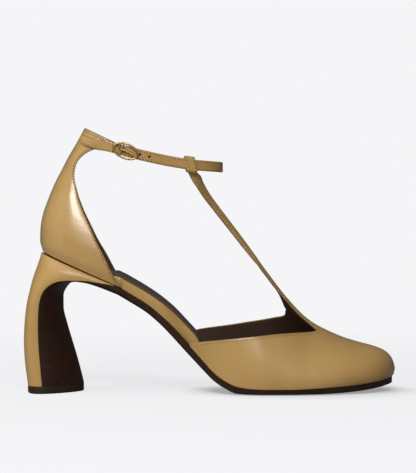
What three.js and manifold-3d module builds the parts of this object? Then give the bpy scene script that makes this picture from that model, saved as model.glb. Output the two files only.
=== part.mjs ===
// A women's T-strap shoe for the right foot, on a high curved heel, open at the waist.
// Millimetres. The toe points to +X, the outer (lateral) side to -Y, and the sole stands on Z = 0.
import * as THREE from "three";
import { mergeVertices } from "three/addons/utils/BufferGeometryUtils.js";
import Module from "manifold-3d";

// Driving sizes
const length = 224;
const ballWidth = 78;
const heelHeight = 84;
const upperWall = 1.4;
const flapThickness = 2.2;
const boardInset = 3.6;
const boardInside = 2.6;
const sockThickness = 1.3;
const upperOverhang = 0.9;
const fitGap = 0.3;
const boardLift = 0.7;
const sockLift = 0.45;
const blockGap = 0.75;
const topPieceHeight = 4.5;
const strapWidth = 6.3;
const strapThickness = 2.2;
const tabThickness = 1.6;
const loopWall = 1.5;
const loopWidth = 6.6;
const buckleLength = 16.4;
const buckleHeight = 9.7;
const buckleWire = 1.2;
const buckleTilt = THREE.MathUtils.degToRad(-22);
const barWidth = 0.9;
const prongWidth = 1.1;

// The tables hold x as shares of the length from the heel's back, z as shares of the heel height,
// and widths as shares of half the ball width.
const X = (share) => (share - 0.5) * length;
const Z = (share) => share * heelHeight;
const Y = (share) => (share * ballWidth) / 2;

// The side view of the sole: its top, where the upper is lasted on, and its tread.
const soleRun = [
  { x: 0.2536, seat: 0.762, tread: 0.6964 },
  { x: 0.2884, seat: 0.705, tread: 0.641 },
  { x: 0.329, seat: 0.638, tread: 0.572 },
  { x: 0.3696, seat: 0.55, tread: 0.479 },
  { x: 0.4022, seat: 0.465, tread: 0.388 },
  { x: 0.4429, seat: 0.347, tread: 0.269 },
  { x: 0.4826, seat: 0.229, tread: 0.1575 },
  { x: 0.5094, seat: 0.153, tread: 0.087 },
  { x: 0.5366, seat: 0.0988, tread: 0.04 },
  { x: 0.5705, seat: 0.0583, tread: 0.0035 },
  { x: 0.6031, seat: 0.0452, tread: 0 },
  { x: 0.6567, seat: 0.0405, tread: 0 },
  { x: 0.7192, seat: 0.0405, tread: 0 },
  { x: 0.7772, seat: 0.0452, tread: 0 },
  { x: 0.8353, seat: 0.0524, tread: 0.004 },
  { x: 0.8978, seat: 0.0643, tread: 0.015 },
  { x: 0.9603, seat: 0.0833, tread: 0.037 },
  { x: 0.9924, seat: 0.1036, tread: 0.056 },
];

// The plan of the sole: how far it reaches to the outer and to the inner side of the middle line.
const solePlan = [
  { x: 0.0473, outer: 0, inner: 0 },
  { x: 0.0629, outer: 0.326, inner: 0.326 },
  { x: 0.0942, outer: 0.508, inner: 0.508 },
  { x: 0.1388, outer: 0.626, inner: 0.626 },
  { x: 0.1835, outer: 0.674, inner: 0.674 },
  { x: 0.2281, outer: 0.672, inner: 0.667 },
  { x: 0.2906, outer: 0.621, inner: 0.6 },
  { x: 0.3621, outer: 0.585, inner: 0.533 },
  { x: 0.4424, outer: 0.615, inner: 0.518 },
  { x: 0.5183, outer: 0.749, inner: 0.615 },
  { x: 0.5853, outer: 0.877, inner: 0.779 },
  { x: 0.6478, outer: 0.944, inner: 0.892 },
  { x: 0.7103, outer: 0.931, inner: 0.933 },
  { x: 0.7728, outer: 0.874, inner: 0.928 },
  { x: 0.8353, outer: 0.774, inner: 0.888 },
  { x: 0.8978, outer: 0.615, inner: 0.8 },
  { x: 0.9424, outer: 0.426, inner: 0.674 },
  { x: 0.9737, outer: 0.205, inner: 0.49 },
  { x: 0.9888, outer: 0.02, inner: 0.3 },
  { x: 0.9924, outer: -0.128, inner: 0.128 },
];

// Sections down the heel, from its front end under the waist to the top piece. keel is the middle of
// the breast, edge the border between breast and cover, and back the middle of the heel's back.
const heelSections = [
  {
    keelX: 0.2536, keelZ: 0.6964, edgeX: 0.2513, edgeZ: 0.7595,
    backX: 0.0473, backZ: 0.9976, half: 0.646, breast: 5, cover: 2.6,
  },
  {
    keelX: 0.2281, keelZ: 0.7226, edgeX: 0.2268, edgeZ: 0.7762,
    backX: 0.046, backZ: 0.9881, half: 0.667, breast: 3.6, cover: 2.6,
  },
  {
    keelX: 0.1991, keelZ: 0.7512, edgeX: 0.1946, edgeZ: 0.7905,
    backX: 0.0442, backZ: 0.9714, half: 0.674, breast: 2.6, cover: 2.6,
  },
  {
    keelX: 0.1723, keelZ: 0.7738, edgeX: 0.1612, edgeZ: 0.8012,
    backX: 0.0415, backZ: 0.9476, half: 0.672, breast: 2.1, cover: 2.6,
  },
  {
    keelX: 0.1478, keelZ: 0.7857, edgeX: 0.1299, edgeZ: 0.8024,
    backX: 0.0375, backZ: 0.9155, half: 0.662, breast: 1.8, cover: 2.6,
  },
  {
    keelX: 0.1299, keelZ: 0.781, edgeX: 0.1009, edgeZ: 0.7964,
    backX: 0.0321, backZ: 0.875, half: 0.649, breast: 1.6, cover: 2.6,
  },
  {
    keelX: 0.1142, keelZ: 0.744, edgeX: 0.0763, edgeZ: 0.7714,
    backX: 0.025, backZ: 0.8214, half: 0.638, breast: 1.5, cover: 2.7,
  },
  {
    keelX: 0.1056, keelZ: 0.6845, edgeX: 0.0558, edgeZ: 0.7167,
    backX: 0.017, backZ: 0.7381, half: 0.628, breast: 1.4, cover: 2.8,
  },
  {
    keelX: 0.1057, keelZ: 0.6012, edgeX: 0.0451, edgeZ: 0.6131,
    backX: 0.008, backZ: 0.631, half: 0.615, breast: 1.4, cover: 3,
  },
  {
    keelX: 0.1161, keelZ: 0.4821, edgeX: 0.0429, edgeZ: 0.4821,
    backX: 0.0018, backZ: 0.4881, half: 0.608, breast: 1.4, cover: 3.1,
  },
  {
    keelX: 0.1299, keelZ: 0.3571, edgeX: 0.0442, edgeZ: 0.3571,
    backX: 0, backZ: 0.3571, half: 0.608, breast: 1.4, cover: 3.2,
  },
  {
    keelX: 0.1451, keelZ: 0.2202, edgeX: 0.0482, edgeZ: 0.2202,
    backX: 0.0027, backZ: 0.2202, half: 0.618, breast: 1.4, cover: 3.2,
  },
  {
    keelX: 0.1580, keelZ: 0.0869, edgeX: 0.0527, edgeZ: 0.0869,
    backX: 0.0094, backZ: 0.0869, half: 0.636, breast: 1.4, cover: 3.2,
  },
  {
    keelX: 0.1603, keelZ: 0.0571, edgeX: 0.0536, edgeZ: 0.0571,
    backX: 0.0107, backZ: 0.0571, half: 0.641, breast: 1.4, cover: 3.2,
  },
];

// Rows up the quarter, from the feather line to the top of its tab.
const quarterRows = [
  { backX: 0.05, backZ: 1.0024, frontX: 0.2603, frontZ: 0.756, half: 0.642 },
  { backX: 0.0429, backZ: 1.0833, frontX: 0.2402, frontZ: 0.8571, half: 0.682 },
  { backX: 0.0437, backZ: 1.1667, frontX: 0.218, frontZ: 0.9762, half: 0.667 },
  { backX: 0.0496, backZ: 1.2619, frontX: 0.1975, frontZ: 1.0774, half: 0.631 },
  { backX: 0.0607, backZ: 1.3512, frontX: 0.179, frontZ: 1.1845, half: 0.579 },
  { backX: 0.0741, backZ: 1.4405, frontX: 0.1596, frontZ: 1.2976, half: 0.513 },
  { backX: 0.0897, backZ: 1.5298, frontX: 0.1436, frontZ: 1.4226, half: 0.436 },
  { backX: 0.1062, backZ: 1.6131, frontX: 0.1348, frontZ: 1.5417, half: 0.382 },
  { backX: 0.1187, backZ: 1.6786, frontX: 0.1397, frontZ: 1.6214, half: 0.372 },
  { backX: 0.1321, backZ: 1.7381, frontX: 0.1567, frontZ: 1.6845, half: 0.39 },
  { backX: 0.1433, backZ: 1.7893, frontX: 0.1857, frontZ: 1.7298, half: 0.426 },
  { backX: 0.1531, backZ: 1.8381, frontX: 0.217, frontZ: 1.7536, half: 0.456 },
  { backX: 0.1634, backZ: 1.8869, frontX: 0.2415, frontZ: 1.7845, half: 0.477 },
];

// Sections of the last under the vamp: where each stands on the sole, its ridge, and how full it is.
const vampSections = [
  { seatX: 0.4446, ridgeX: 0.4446, ridgeZ: 1.6429, power: 2.2 },
  { seatX: 0.5183, ridgeX: 0.5183, ridgeZ: 1.3452, power: 2 },
  { seatX: 0.5853, ridgeX: 0.5853, ridgeZ: 1.1119, power: 1.7 },
  { seatX: 0.6478, ridgeX: 0.6478, ridgeZ: 0.876, power: 1.55 },
  { seatX: 0.7103, ridgeX: 0.7103, ridgeZ: 0.66, power: 1.52 },
  { seatX: 0.7585, ridgeX: 0.7585, ridgeZ: 0.527, power: 1.57 },
  { seatX: 0.7862, ridgeX: 0.7862, ridgeZ: 0.475, power: 1.65 },
  { seatX: 0.8174, ridgeX: 0.8201, ridgeZ: 0.4286, power: 1.75 },
  { seatX: 0.8531, ridgeX: 0.8621, ridgeZ: 0.381, power: 1.9 },
  { seatX: 0.8888, ridgeX: 0.9067, ridgeZ: 0.3445, power: 2 },
  { seatX: 0.9201, ridgeX: 0.9424, ridgeZ: 0.3185, power: 2.1 },
  { seatX: 0.9469, ridgeX: 0.9705, ridgeZ: 0.287, power: 2.15 },
  { seatX: 0.9692, ridgeX: 0.9897, ridgeZ: 0.2395, power: 2.2 },
  { seatX: 0.9826, ridgeX: 0.9975, ridgeZ: 0.1905, power: 2.2 },
  { seatX: 0.9897, ridgeX: 1, ridgeZ: 0.1548, power: 2.2 },
  { seatX: 0.992, ridgeX: 0.996, ridgeZ: 0.109, power: 2.2 },
];

// The vamp's top edges on both sides, back to front, up to the notches beside the T-strap.
const outerTopline = [
  { x: 0.4446, z: 0.3643 },
  { x: 0.5143, z: 0.3857 },
  { x: 0.6067, z: 0.4135 },
  { x: 0.646, z: 0.4238 },
  { x: 0.6817, z: 0.4315 },
  { x: 0.7188, z: 0.4345 },
  { x: 0.7683, z: 0.436 },
  { x: 0.7862, z: 0.4405 },
];
const innerTopline = [
  { x: 0.4446, z: 0.3988 },
  { x: 0.4647, z: 0.4226 },
  { x: 0.5045, z: 0.4385 },
  { x: 0.5554, z: 0.4552 },
  { x: 0.6121, z: 0.4790 },
  { x: 0.6527, z: 0.4980 },
  { x: 0.6763, z: 0.512 },
  { x: 0.6978, z: 0.5245 },
  { x: 0.7045, z: 0.535 },
  { x: 0.708, z: 0.569 },
];

// The foot of the T-strap on the vamp: how far it reaches to both sides of the middle line.
const strapFoot = [
  { x: 0.6299, outer: 0.155, inner: 0.095 },
  { x: 0.6701, outer: 0.155, inner: 0.125 },
  { x: 0.6871, outer: 0.152, inner: 0.18 },
  { x: 0.696, outer: 0.15, inner: 0.244 },
  { x: 0.708, outer: 0.15, inner: 0.333 },
  { x: 0.7326, outer: 0.158, inner: 0.323 },
  { x: 0.7683, outer: 0.179, inner: 0.303 },
  { x: 0.7862, outer: 0.231, inner: 0.295 },
];

// The T-strap's middle line above its foot, and how far it has turned to face the outer side.
const strapRun = [
  { at: 0, x: 0.6275, y: -0.03, z: 0.9485, turn: 8, width: 0.25 },
  { at: 1, x: 0.5742, y: -0.04, z: 1.1286, turn: 23, width: 0.2 },
  { at: 2, x: 0.5225, y: -0.085, z: 1.3024, turn: 31, width: 0.178 },
  { at: 3, x: 0.4885, y: -0.19, z: 1.4238, turn: 44, width: 0.168 },
  { at: 4, x: 0.4668, y: -0.318, z: 1.5179, turn: 60, width: 0.166 },
];

// The top of the footbed where its edge shows in the waist.
const rimTop = [
  { x: 0.2536, z: 0.838 },
  { x: 0.2884, z: 0.7875 },
  { x: 0.3496, z: 0.689 },
  { x: 0.4022, z: 0.579 },
  { x: 0.4429, z: 0.467 },
  { x: 0.4799, z: 0.36 },
];

// The middle line of the ankle strap from the quarter to the front of the ankle; the other half mirrors it.
const ankleRun = [
  { at: -1, x: 0.155, y: 0.43, z: 1.8034 },
  { at: 0, x: 0.1924, y: 0.482, z: 1.7774 },
  { at: 1, x: 0.2125, y: 0.495, z: 1.7643 },
  { at: 2, x: 0.2415, y: 0.513, z: 1.7440 },
  { at: 3, x: 0.2728, y: 0.518, z: 1.7214 },
  { at: 4, x: 0.3147, y: 0.503, z: 1.6928 },
  { at: 5, x: 0.3951, y: 0.441, z: 1.6464 },
  { at: 6, x: 0.4491, y: 0.395, z: 1.6238 },
  { at: 7, x: 0.4781, y: 0.359, z: 1.6166 },
  { at: 8, x: 0.5049, y: 0.279, z: 1.6107 },
  { at: 9, x: 0.5227, y: 0.154, z: 1.6071 },
  { at: 10, x: 0.5297, y: 0, z: 1.6047 },
];

// A column of a table as a smooth function of another column, without overshoot between the rows.
function curve(rows, by, of) {
  const at = rows.map((row) => row[by]);
  const value = rows.map((row) => row[of]);
  const last = rows.length - 1;
  const slope = at.slice(1).map((end, i) => (value[i + 1] - value[i]) / (end - at[i]));
  const tangent = value.map((_, i) => {
    if (i === 0 || i === last) return slope[Math.min(i, last - 1)];
    const product = slope[i - 1] * slope[i];
    return product <= 0 ? 0 : (2 * product) / (slope[i - 1] + slope[i]);
  });
  return (place) => {
    const inside = Math.min(Math.max(place, at[0]), at[last]);
    let i = 0;
    while (i < last - 1 && inside > at[i + 1]) i++;
    const step = at[i + 1] - at[i];
    const t = (inside - at[i]) / step;
    const rise = value[i + 1] - value[i];
    const bend = step * (tangent[i] + tangent[i + 1]) - 2 * rise;
    return value[i] + t * (step * tangent[i] + t * (rise - step * tangent[i] - bend + t * bend));
  };
}

// The same for an outline with round ends: it is smooth in the angle of a half circle over the length.
function roundEndedCurve(rows, by, of) {
  const first = rows[0][by];
  const span = rows[rows.length - 1][by] - first;
  const angle = (place) => Math.acos(1 - 2 * Math.min(Math.max((place - first) / span, 0), 1));
  const turned = rows.map((row) => ({ angle: angle(row[by]), value: row[of] }));
  const run = curve(turned, "angle", "value");
  return (place) => run(angle(place));
}

const range = (from, to, count) =>
  Array.from({ length: count }, (_, i) => from + ((to - from) * i) / (count - 1));
const mix = (a, b, t) => a + (b - a) * t;
const smooth = (from, to, value) => THREE.MathUtils.smoothstep(value, from, to);
const point = (x, y, z) => new THREE.Vector3(x, y, z);

const soleTop = curve(soleRun, "x", "seat");
const soleTread = curve(soleRun, "x", "tread");
const solePlanOuter = roundEndedCurve(solePlan, "x", "outer");
const solePlanInner = roundEndedCurve(solePlan, "x", "inner");
const heelStart = soleRun[0].x;
const soleEnd = soleRun[soleRun.length - 1].x;
const seatBack = quarterRows[0];

// The sole's top as it runs on in a straight line under the heel seat.
function featherZ(x) {
  if (x >= heelStart) return Z(soleTop(x));
  const share = (x - seatBack.backX) / (heelStart - seatBack.backX);
  return Z(mix(seatBack.backZ, soleTop(heelStart), share));
}

// An arch from one edge point to another over a crown: a superellipse whose power gives its fullness.
function arch(left, right, crown, power) {
  const middle = left.clone().add(right).multiplyScalar(0.5);
  const half = right.clone().sub(middle);
  const rise = crown.clone().sub(middle);
  return (t) => {
    const angle = (t * Math.PI) / 2;
    const across = Math.sign(t) * Math.abs(Math.sin(angle)) ** (2 / power);
    const up = Math.abs(Math.cos(angle)) ** (2 / power);
    return middle.clone().addScaledVector(half, across).addScaledVector(rise, up);
  };
}

// A closed mesh from points and faces, turned so that its faces point out.
function closedGeometry(points, faces) {
  let volume = 0;
  for (const [a, b, c] of faces) volume += points[a].dot(points[b].clone().cross(points[c]));
  const index = volume < 0 ? faces.map(([a, b, c]) => [a, c, b]) : faces;
  const geometry = new THREE.BufferGeometry();
  geometry.setAttribute("position", new THREE.Float32BufferAttribute(points.flatMap((p) => p.toArray()), 3));
  geometry.setIndex(index.flat());
  return geometry;
}

const quadFaces = (a, b, c, d) => [
  [a, b, c],
  [a, c, d],
];

// A solid from a run of closed loops with the same count of points. Both ends are closed by ladders of
// faces between the two halves of the loop.
function loopSolid(loops) {
  const count = loops[0].length;
  const faces = [];
  for (let row = 0; row < loops.length - 1; row++)
    for (let i = 0; i < count; i++) {
      const next = (i + 1) % count;
      faces.push(
        ...quadFaces(row * count + i, row * count + next, (row + 1) * count + next, (row + 1) * count + i),
      );
    }
  const ladder = (start, flip) => {
    for (let i = 0; i < count / 2; i++) {
      const near = start + i;
      const far = start + ((count - i) % count);
      const farNext = start + count - i - 1;
      const made = i === 0 ? [[near, farNext, near + 1]] : quadFaces(near, far, farNext, near + 1);
      for (const [a, b, c] of made)
        if (a !== b && b !== c && a !== c) faces.push(flip ? [a, c, b] : [a, b, c]);
    }
  };
  ladder(0, false);
  ladder((loops.length - 1) * count, true);
  return closedGeometry(loops.flat(), faces);
}

// A wall from an outer sheet of four-cornered cells: the inner side repeats it at the inner points, and
// every free edge gets a rim.
function wallSolid(outer, inner, cells) {
  const shift = outer.length;
  const faces = [];
  const edges = new Map();
  for (const [a, b, c, d] of cells) {
    faces.push(...quadFaces(a, b, c, d), ...quadFaces(d + shift, c + shift, b + shift, a + shift));
    for (const [from, to] of [
      [a, b],
      [b, c],
      [c, d],
      [d, a],
    ])
      edges.set(from + "," + to, [from, to]);
  }
  for (const [from, to] of edges.values())
    if (!edges.has(to + "," + from)) faces.push(...quadFaces(to, from, from + shift, to + shift));
  return closedGeometry([...outer, ...inner], faces);
}

// The cells of a grid stored row by row.
function gridCells(rows, columns) {
  const cells = [];
  for (let row = 0; row < rows - 1; row++)
    for (let column = 0; column < columns - 1; column++) {
      const at = row * columns + column;
      cells.push([at, at + 1, at + columns + 1, at + columns]);
    }
  return cells;
}

// The direction square to a surface given as a function of two numbers, turned away from a point inside.
function normalOf(surface, u, v, inside) {
  const step = 1e-3;
  const du = surface(u + step, v).sub(surface(u - step, v));
  const dv = surface(u, v + step).sub(surface(u, v - step));
  const normal = du.cross(dv).normalize();
  const outward = surface(u, v).sub(inside);
  return normal.dot(outward) < 0 ? normal.negate() : normal;
}

// A closed loop of an outer and an inner arch between the same two edges.
function lensLoop(outerArch, innerArch, columns) {
  const there = range(-1, 1, columns).map(outerArch);
  const back = range(1, -1, columns).slice(1, -1).map(innerArch);
  return [...there, ...back];
}

// Sole: forepart and waist as sections across, then the breast flap down the front of the heel.
const soleColumns = 11;
const heelRun = (of) => curve(heelSections.map((row, at) => ({ ...row, at })), "at", of);
const keelX = heelRun("keelX");
const keelZ = heelRun("keelZ");
const edgeX = heelRun("edgeX");
const edgeZ = heelRun("edgeZ");
const backX = heelRun("backX");
const backZ = heelRun("backZ");
const heelHalf = heelRun("half");
const breastPower = heelRun("breast");
const coverPower = heelRun("cover");
const lastHeelRow = heelSections.length - 1;

// The heel's heights settle on the top piece at the lower end.
const heelFoot = topPieceHeight + fitGap;
const settle = heelFoot - Z(heelSections[lastHeelRow].keelZ);
const settledShare = 0.4;
const heelZ = (share) => Z(share) + settle * Math.max(0, 1 - share / settledShare);

// A point of a side-view line of the heel moved into the heel by a distance: straight up where the
// waist runs in, and square to the line below that.
function intoHeel(runX, runZ, at, distance) {
  const step = 0.05;
  const before = Math.max(at - step, 0);
  const after = Math.min(at + step, lastHeelRow);
  const along = point(X(runX(after)) - X(runX(before)), 0, heelZ(runZ(after)) - heelZ(runZ(before)));
  const square = point(along.z, 0, -along.x).normalize();
  const inward = point(0, 0, 1).lerp(square, smooth(0, 2, at)).normalize();
  const moved = point(X(runX(at)), 0, heelZ(runZ(at))).addScaledVector(inward, distance);
  return moved.setZ(Math.max(moved.z, heelFoot));
}

// The tread is flat across the forepart, with eased edges.
const treadEase = 0.35;
function soleSection(x) {
  const left = point(X(x), -Y(solePlanOuter(x)), featherZ(x));
  const right = point(X(x), Y(solePlanInner(x)), featherZ(x));
  const middle = left.clone().add(right).multiplyScalar(0.5);
  const ground = Z(soleTread(x));
  const crown = middle.clone().setZ(ground - treadEase * smooth(0.5, 0.6, x));
  const lower = arch(left, right, crown, 5);
  const eased = (t) => {
    const made = lower(t);
    return made.setZ(Math.max(made.z, ground));
  };
  return lensLoop(eased, arch(left, right, middle, 5), soleColumns);
}

function flapSection(at) {
  const half = Y(heelHalf(at));
  const left = point(X(edgeX(at)), -half, heelZ(edgeZ(at)));
  const right = left.clone().setY(half);
  const keel = point(X(keelX(at)), 0, heelZ(keelZ(at)));
  const waistThickness = Z(soleTop(heelStart) - soleTread(heelStart));
  const thickness = mix(waistThickness, flapThickness, smooth(0, 3, at));
  const power = breastPower(at);
  const inner = intoHeel(keelX, keelZ, at, thickness);
  return lensLoop(arch(left, right, keel, power), arch(left, right, inner, power), soleColumns);
}

const toeRows = range(0, 1, 12).map((t) => soleEnd - 0.0006 - 0.16 * (1 - Math.cos((t * Math.PI) / 2)));
const waistRows = range(toeRows[toeRows.length - 1], heelStart + 0.012, 24).slice(1);
const flapRows = range(0, lastHeelRow, 22);
const outsole = loopSolid([...[...toeRows, ...waistRows].map(soleSection), ...flapRows.map(flapSection)]);

// Heel: at each section the breast, set back for the flap, and the cover round the back.
const heelColumns = 15;
function heelSection(at) {
  const half = Y(heelHalf(at)) - blockGap;
  const edge = intoHeel(edgeX, edgeZ, at, blockGap);
  const left = edge.clone().setY(-half);
  const right = edge.clone().setY(half);
  const waistThickness = Z(soleTop(heelStart) - soleTread(heelStart));
  const thickness = mix(waistThickness, flapThickness, smooth(0, 3, at));
  const keel = intoHeel(keelX, keelZ, at, thickness + blockGap);
  const back = point(X(backX(at)), 0, heelZ(backZ(at)));
  const breast = arch(left, right, keel, breastPower(at));
  const cover = arch(left, right, back, coverPower(at));
  return lensLoop(breast, cover, heelColumns);
}
const heelTip = 0.52;
const heel = loopSolid(range(heelTip, lastHeelRow, 22).map(heelSection));

// Top piece: the heel's lowest section carried down to the ground.
function topPieceLoop(z, inset) {
  const left = point(X(edgeX(lastHeelRow)), -Y(heelHalf(lastHeelRow)) + inset, z);
  const right = left.clone().setY(Y(heelHalf(lastHeelRow)) - inset);
  const keel = point(X(keelX(lastHeelRow)) - inset, 0, z);
  const back = point(X(backX(lastHeelRow)) + inset, 0, z);
  return lensLoop(arch(left, right, keel, 1.4), arch(left, right, back, 3.2), heelColumns);
}
const topPiece = loopSolid([
  topPieceLoop(0, 0.6),
  topPieceLoop(0.6, 0.1),
  topPieceLoop(topPieceHeight, 0),
]);

// Footbed board: full length, inside the upper at heel and toe, and out to the sole's edge in the waist.
const quarterFront = seatBack.frontX;
const vampBack = vampSections[0].seatX;
const openEase = 0.006;
const closeEase = 0.07;
function edgeInset(x) {
  const leavesQuarter = smooth(quarterFront + 0.0015, quarterFront + 0.0015 + openEase, x);
  const entersVamp = smooth(vampBack - 0.002 - closeEase, vampBack - 0.002, x);
  return mix(boardInset, 0.2, leavesQuarter * (1 - entersVamp));
}
const rimHeight = curve(rimTop, "x", "z");
function boardTop(x) {
  const inner = featherZ(x) + boardLift + boardInside;
  const rim = Z(rimHeight(x));
  const shown = smooth(quarterFront - 0.1, quarterFront - 0.03, x) * (1 - smooth(0.46, 0.5, x));
  return mix(inner, Math.max(rim, inner), shown);
}
const boardBack = 0.0473 + 0.012;
const boardFront = soleEnd - 0.014;
function boardEdges(x, extra) {
  const grow = (soleEnd - 0.0473) / (boardFront - boardBack);
  const plan = 0.0473 + (x - boardBack) * grow;
  const inset = edgeInset(x) + extra;
  return [-Y(solePlanOuter(plan)) + inset, Y(solePlanInner(plan)) - inset];
}
function boardLoop(x) {
  const [outerY, innerY] = boardEdges(x, 0);
  const low = featherZ(x) + boardLift;
  const top = boardTop(x);
  const round = Math.min(1.2, (top - low) / 3);
  return [
    point(X(x), outerY + 0.4, low),
    point(X(x), outerY, low + round),
    point(X(x), outerY, top - round),
    point(X(x), outerY + 1.2, top),
    point(X(x), innerY - 1.2, top),
    point(X(x), innerY, top - round),
    point(X(x), innerY, low + round),
    point(X(x), innerY - 0.4, low),
  ];
}
const roundRows = (from, to, count) =>
  range(0, Math.PI, count).map((angle) => mix(from, to, (1 - Math.cos(angle)) / 2));
const boardRows = [
  ...roundRows(boardBack + 0.004, boardFront - 0.004, 54),
  quarterFront + 0.002,
  quarterFront + 0.006,
  quarterFront + 0.011,
  quarterFront + 0.016,
  vampBack - 0.017,
  vampBack - 0.012,
  vampBack - 0.007,
  vampBack - 0.003,
].sort((a, b) => a - b);
const footbed = loopSolid(boardRows.map(boardLoop));

// Insole sock on the board, a little inside its edge.
function sockLoop(x) {
  const [outerY, innerY] = boardEdges(x, 1.5);
  const low = boardTop(x) + sockLift;
  return [
    point(X(x), outerY, low),
    point(X(x), outerY, low + sockThickness * 0.6),
    point(X(x), outerY + 0.8, low + sockThickness),
    point(X(x), innerY - 0.8, low + sockThickness),
    point(X(x), innerY, low + sockThickness * 0.6),
    point(X(x), innerY, low),
  ];
}
const sockBack = boardBack + 0.012;
const sockFront = boardFront - 0.014;
const sockRows = [sockBack, ...boardRows.filter((x) => x > sockBack && x < sockFront), sockFront];
const insole = loopSolid(sockRows.map(sockLoop));

// Quarter: rows of arches round the heel, from the feather line up to the tab.
const quarterRun = (of) => curve(quarterRows.map((row, at) => ({ ...row, at })), "at", of);
const quarterBackX = quarterRun("backX");
const quarterBackZ = quarterRun("backZ");
const quarterFrontX = quarterRun("frontX");
const quarterFrontZ = quarterRun("frontZ");
const quarterHalf = quarterRun("half");
const lastQuarterRow = quarterRows.length - 1;

// The counter's outer front edge stands a little ahead of its inner one between the seat and the tab.
const outerAhead = 0.8;
const innerBehind = 0.7;

function quarterSurface(row, t) {
  const half = Y(quarterHalf(row));
  const lift = fitGap * (1 - smooth(0, 1, row));
  const shift = smooth(0.5, 4, row) * (1 - smooth(9.5, 11.5, row));
  const left = point(X(quarterFrontX(row)) + outerAhead * shift, -half, Z(quarterFrontZ(row)) + lift);
  const right = point(X(quarterFrontX(row)) - innerBehind * shift, half, left.z);
  const back = point(X(quarterBackX(row)), 0, Z(quarterBackZ(row)) + lift);
  return arch(left, right, back, mix(2.6, 2.2, smooth(2, 8, row)))(t);
}

// The wall's inner side: level at the bottom, so that it doesn't dip into the sole.
function quarterNormal(row, t) {
  const inside = point(X(quarterFrontX(row)) + 6, 0, Z(quarterFrontZ(row)));
  const clear = Math.min(Math.max(t, -0.995), 0.995);
  const kept = Math.abs(clear) < 0.01 ? 0.01 : clear;
  const normal = normalOf(quarterSurface, Math.min(Math.max(row, 0.002), lastQuarterRow - 0.002), kept, inside);
  if (row < 0.5) normal.setZ(normal.z * (row / 0.5)).normalize();
  return normal;
}

function surfaceWall(surface, normal, us, vs, from, to) {
  const at = (distance) => us.flatMap((u) => vs.map((v) => surface(u, v).addScaledVector(normal(u, v), distance)));
  return wallSolid(at(to), at(from), gridCells(us.length, vs.length));
}
const quarter = surfaceWall(
  quarterSurface,
  quarterNormal,
  range(0, lastQuarterRow, 19),
  range(-1, 1, 21),
  -upperWall,
  0,
);

// Vamp: arches over the last, with the throat, the two wings and the foot of the T-strap cut from them.
const vampRun = (of) => curve(vampSections, "seatX", of);
const ridgeX = vampRun("ridgeX");
const ridgeZ = vampRun("ridgeZ");
const vampPower = vampRun("power");
const vampFront = vampSections[vampSections.length - 1].seatX;

function vampSurface(x, t) {
  const z = featherZ(x) + fitGap;
  const left = point(X(x), -Y(solePlanOuter(x)) - upperOverhang, z);
  const right = point(X(x), Y(solePlanInner(x)) + upperOverhang, z);
  const crown = point(X(ridgeX(x)), (left.y + right.y) / 2, Z(ridgeZ(x)));
  const made = arch(left, right, crown, vampPower(x))(t);
  const rise = (made.z - z) / (crown.z - z);
  const bulge = 14 * rise * (1 - rise) ** 3;
  made.y += Math.sign(t) * bulge * (1 - smooth(vampFront - 0.05, vampFront, x));
  return made;
}

function vampNormal(x, t) {
  const inside = point(X(x) - 6, 0, featherZ(x) + 6);
  const clear = Math.min(Math.max(t, -0.985), 0.985);
  const kept = Math.abs(clear) < 0.01 ? 0.01 : clear;
  const place = Math.min(Math.max(x, vampBack + 0.001), vampFront - 0.0012);
  const normal = normalOf(vampSurface, place, kept, inside);
  if (Math.abs(t) > 0.97) normal.setZ(0).normalize();
  return normal;
}

// The place across an arch where it is at a height, or at a distance from the middle line.
function acrossAtHeight(x, height) {
  const share = (height - featherZ(x) - fitGap) / (Z(ridgeZ(x)) - featherZ(x) - fitGap);
  return (2 / Math.PI) * Math.acos(Math.min(Math.max(share, 0), 1) ** (vampPower(x) / 2));
}
function acrossAtWidth(x, distance) {
  const half = (Y(solePlanOuter(x)) + Y(solePlanInner(x))) / 2 + upperOverhang;
  return (2 / Math.PI) * Math.asin(Math.min(distance / half, 1) ** (vampPower(x) / 2));
}
const outerTop = curve(outerTopline, "x", "z");
const innerTop = curve(innerTopline, "x", "z");
const footOuter = curve(strapFoot, "x", "outer");
const footInner = curve(strapFoot, "x", "inner");
const outerNotch = outerTopline[outerTopline.length - 1].x;
const innerNotch = innerTopline[innerTopline.length - 1].x;
const footStart = strapFoot[0].x;

// In front of the notches the lines of the strap's foot run on over the toe and spread out evenly.
function footLines(x) {
  const spread = smooth(outerNotch, 0.93, x);
  const outer = mix(acrossAtWidth(Math.min(x, outerNotch), Y(footOuter(x))), 0.42, spread);
  const inner = mix(acrossAtWidth(Math.min(x, outerNotch), Y(footInner(x))), 0.42, spread);
  return [-outer, inner];
}

const sideColumns = 7;
const footColumns = 5;
const vampRows = [
  ...range(vampBack, footStart, 11).slice(0, -1),
  ...range(footStart, innerNotch, 7).slice(0, -1),
  ...range(innerNotch, outerNotch, 5).slice(0, -1),
  ...range(0, 1, 17).map((t) => mix(outerNotch, vampFront, Math.sin((t * Math.PI) / 2) ** 0.94)),
];

const vampOuter = [];
const vampInner = [];
const vampCells = [];
function addVampPoint(surfacePoint, normal) {
  vampOuter.push(surfacePoint);
  vampInner.push(surfacePoint.clone().addScaledVector(normal, -upperWall));
  return vampOuter.length - 1;
}
function vampPointRow(x, from, to, count) {
  return range(from, to, count).map((t) => addVampPoint(vampSurface(x, t), vampNormal(x, t)));
}
function joinRows(before, after) {
  for (let i = 0; i < before.length - 1; i++)
    vampCells.push([before[i], after[i], after[i + 1], before[i + 1]]);
}

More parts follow.
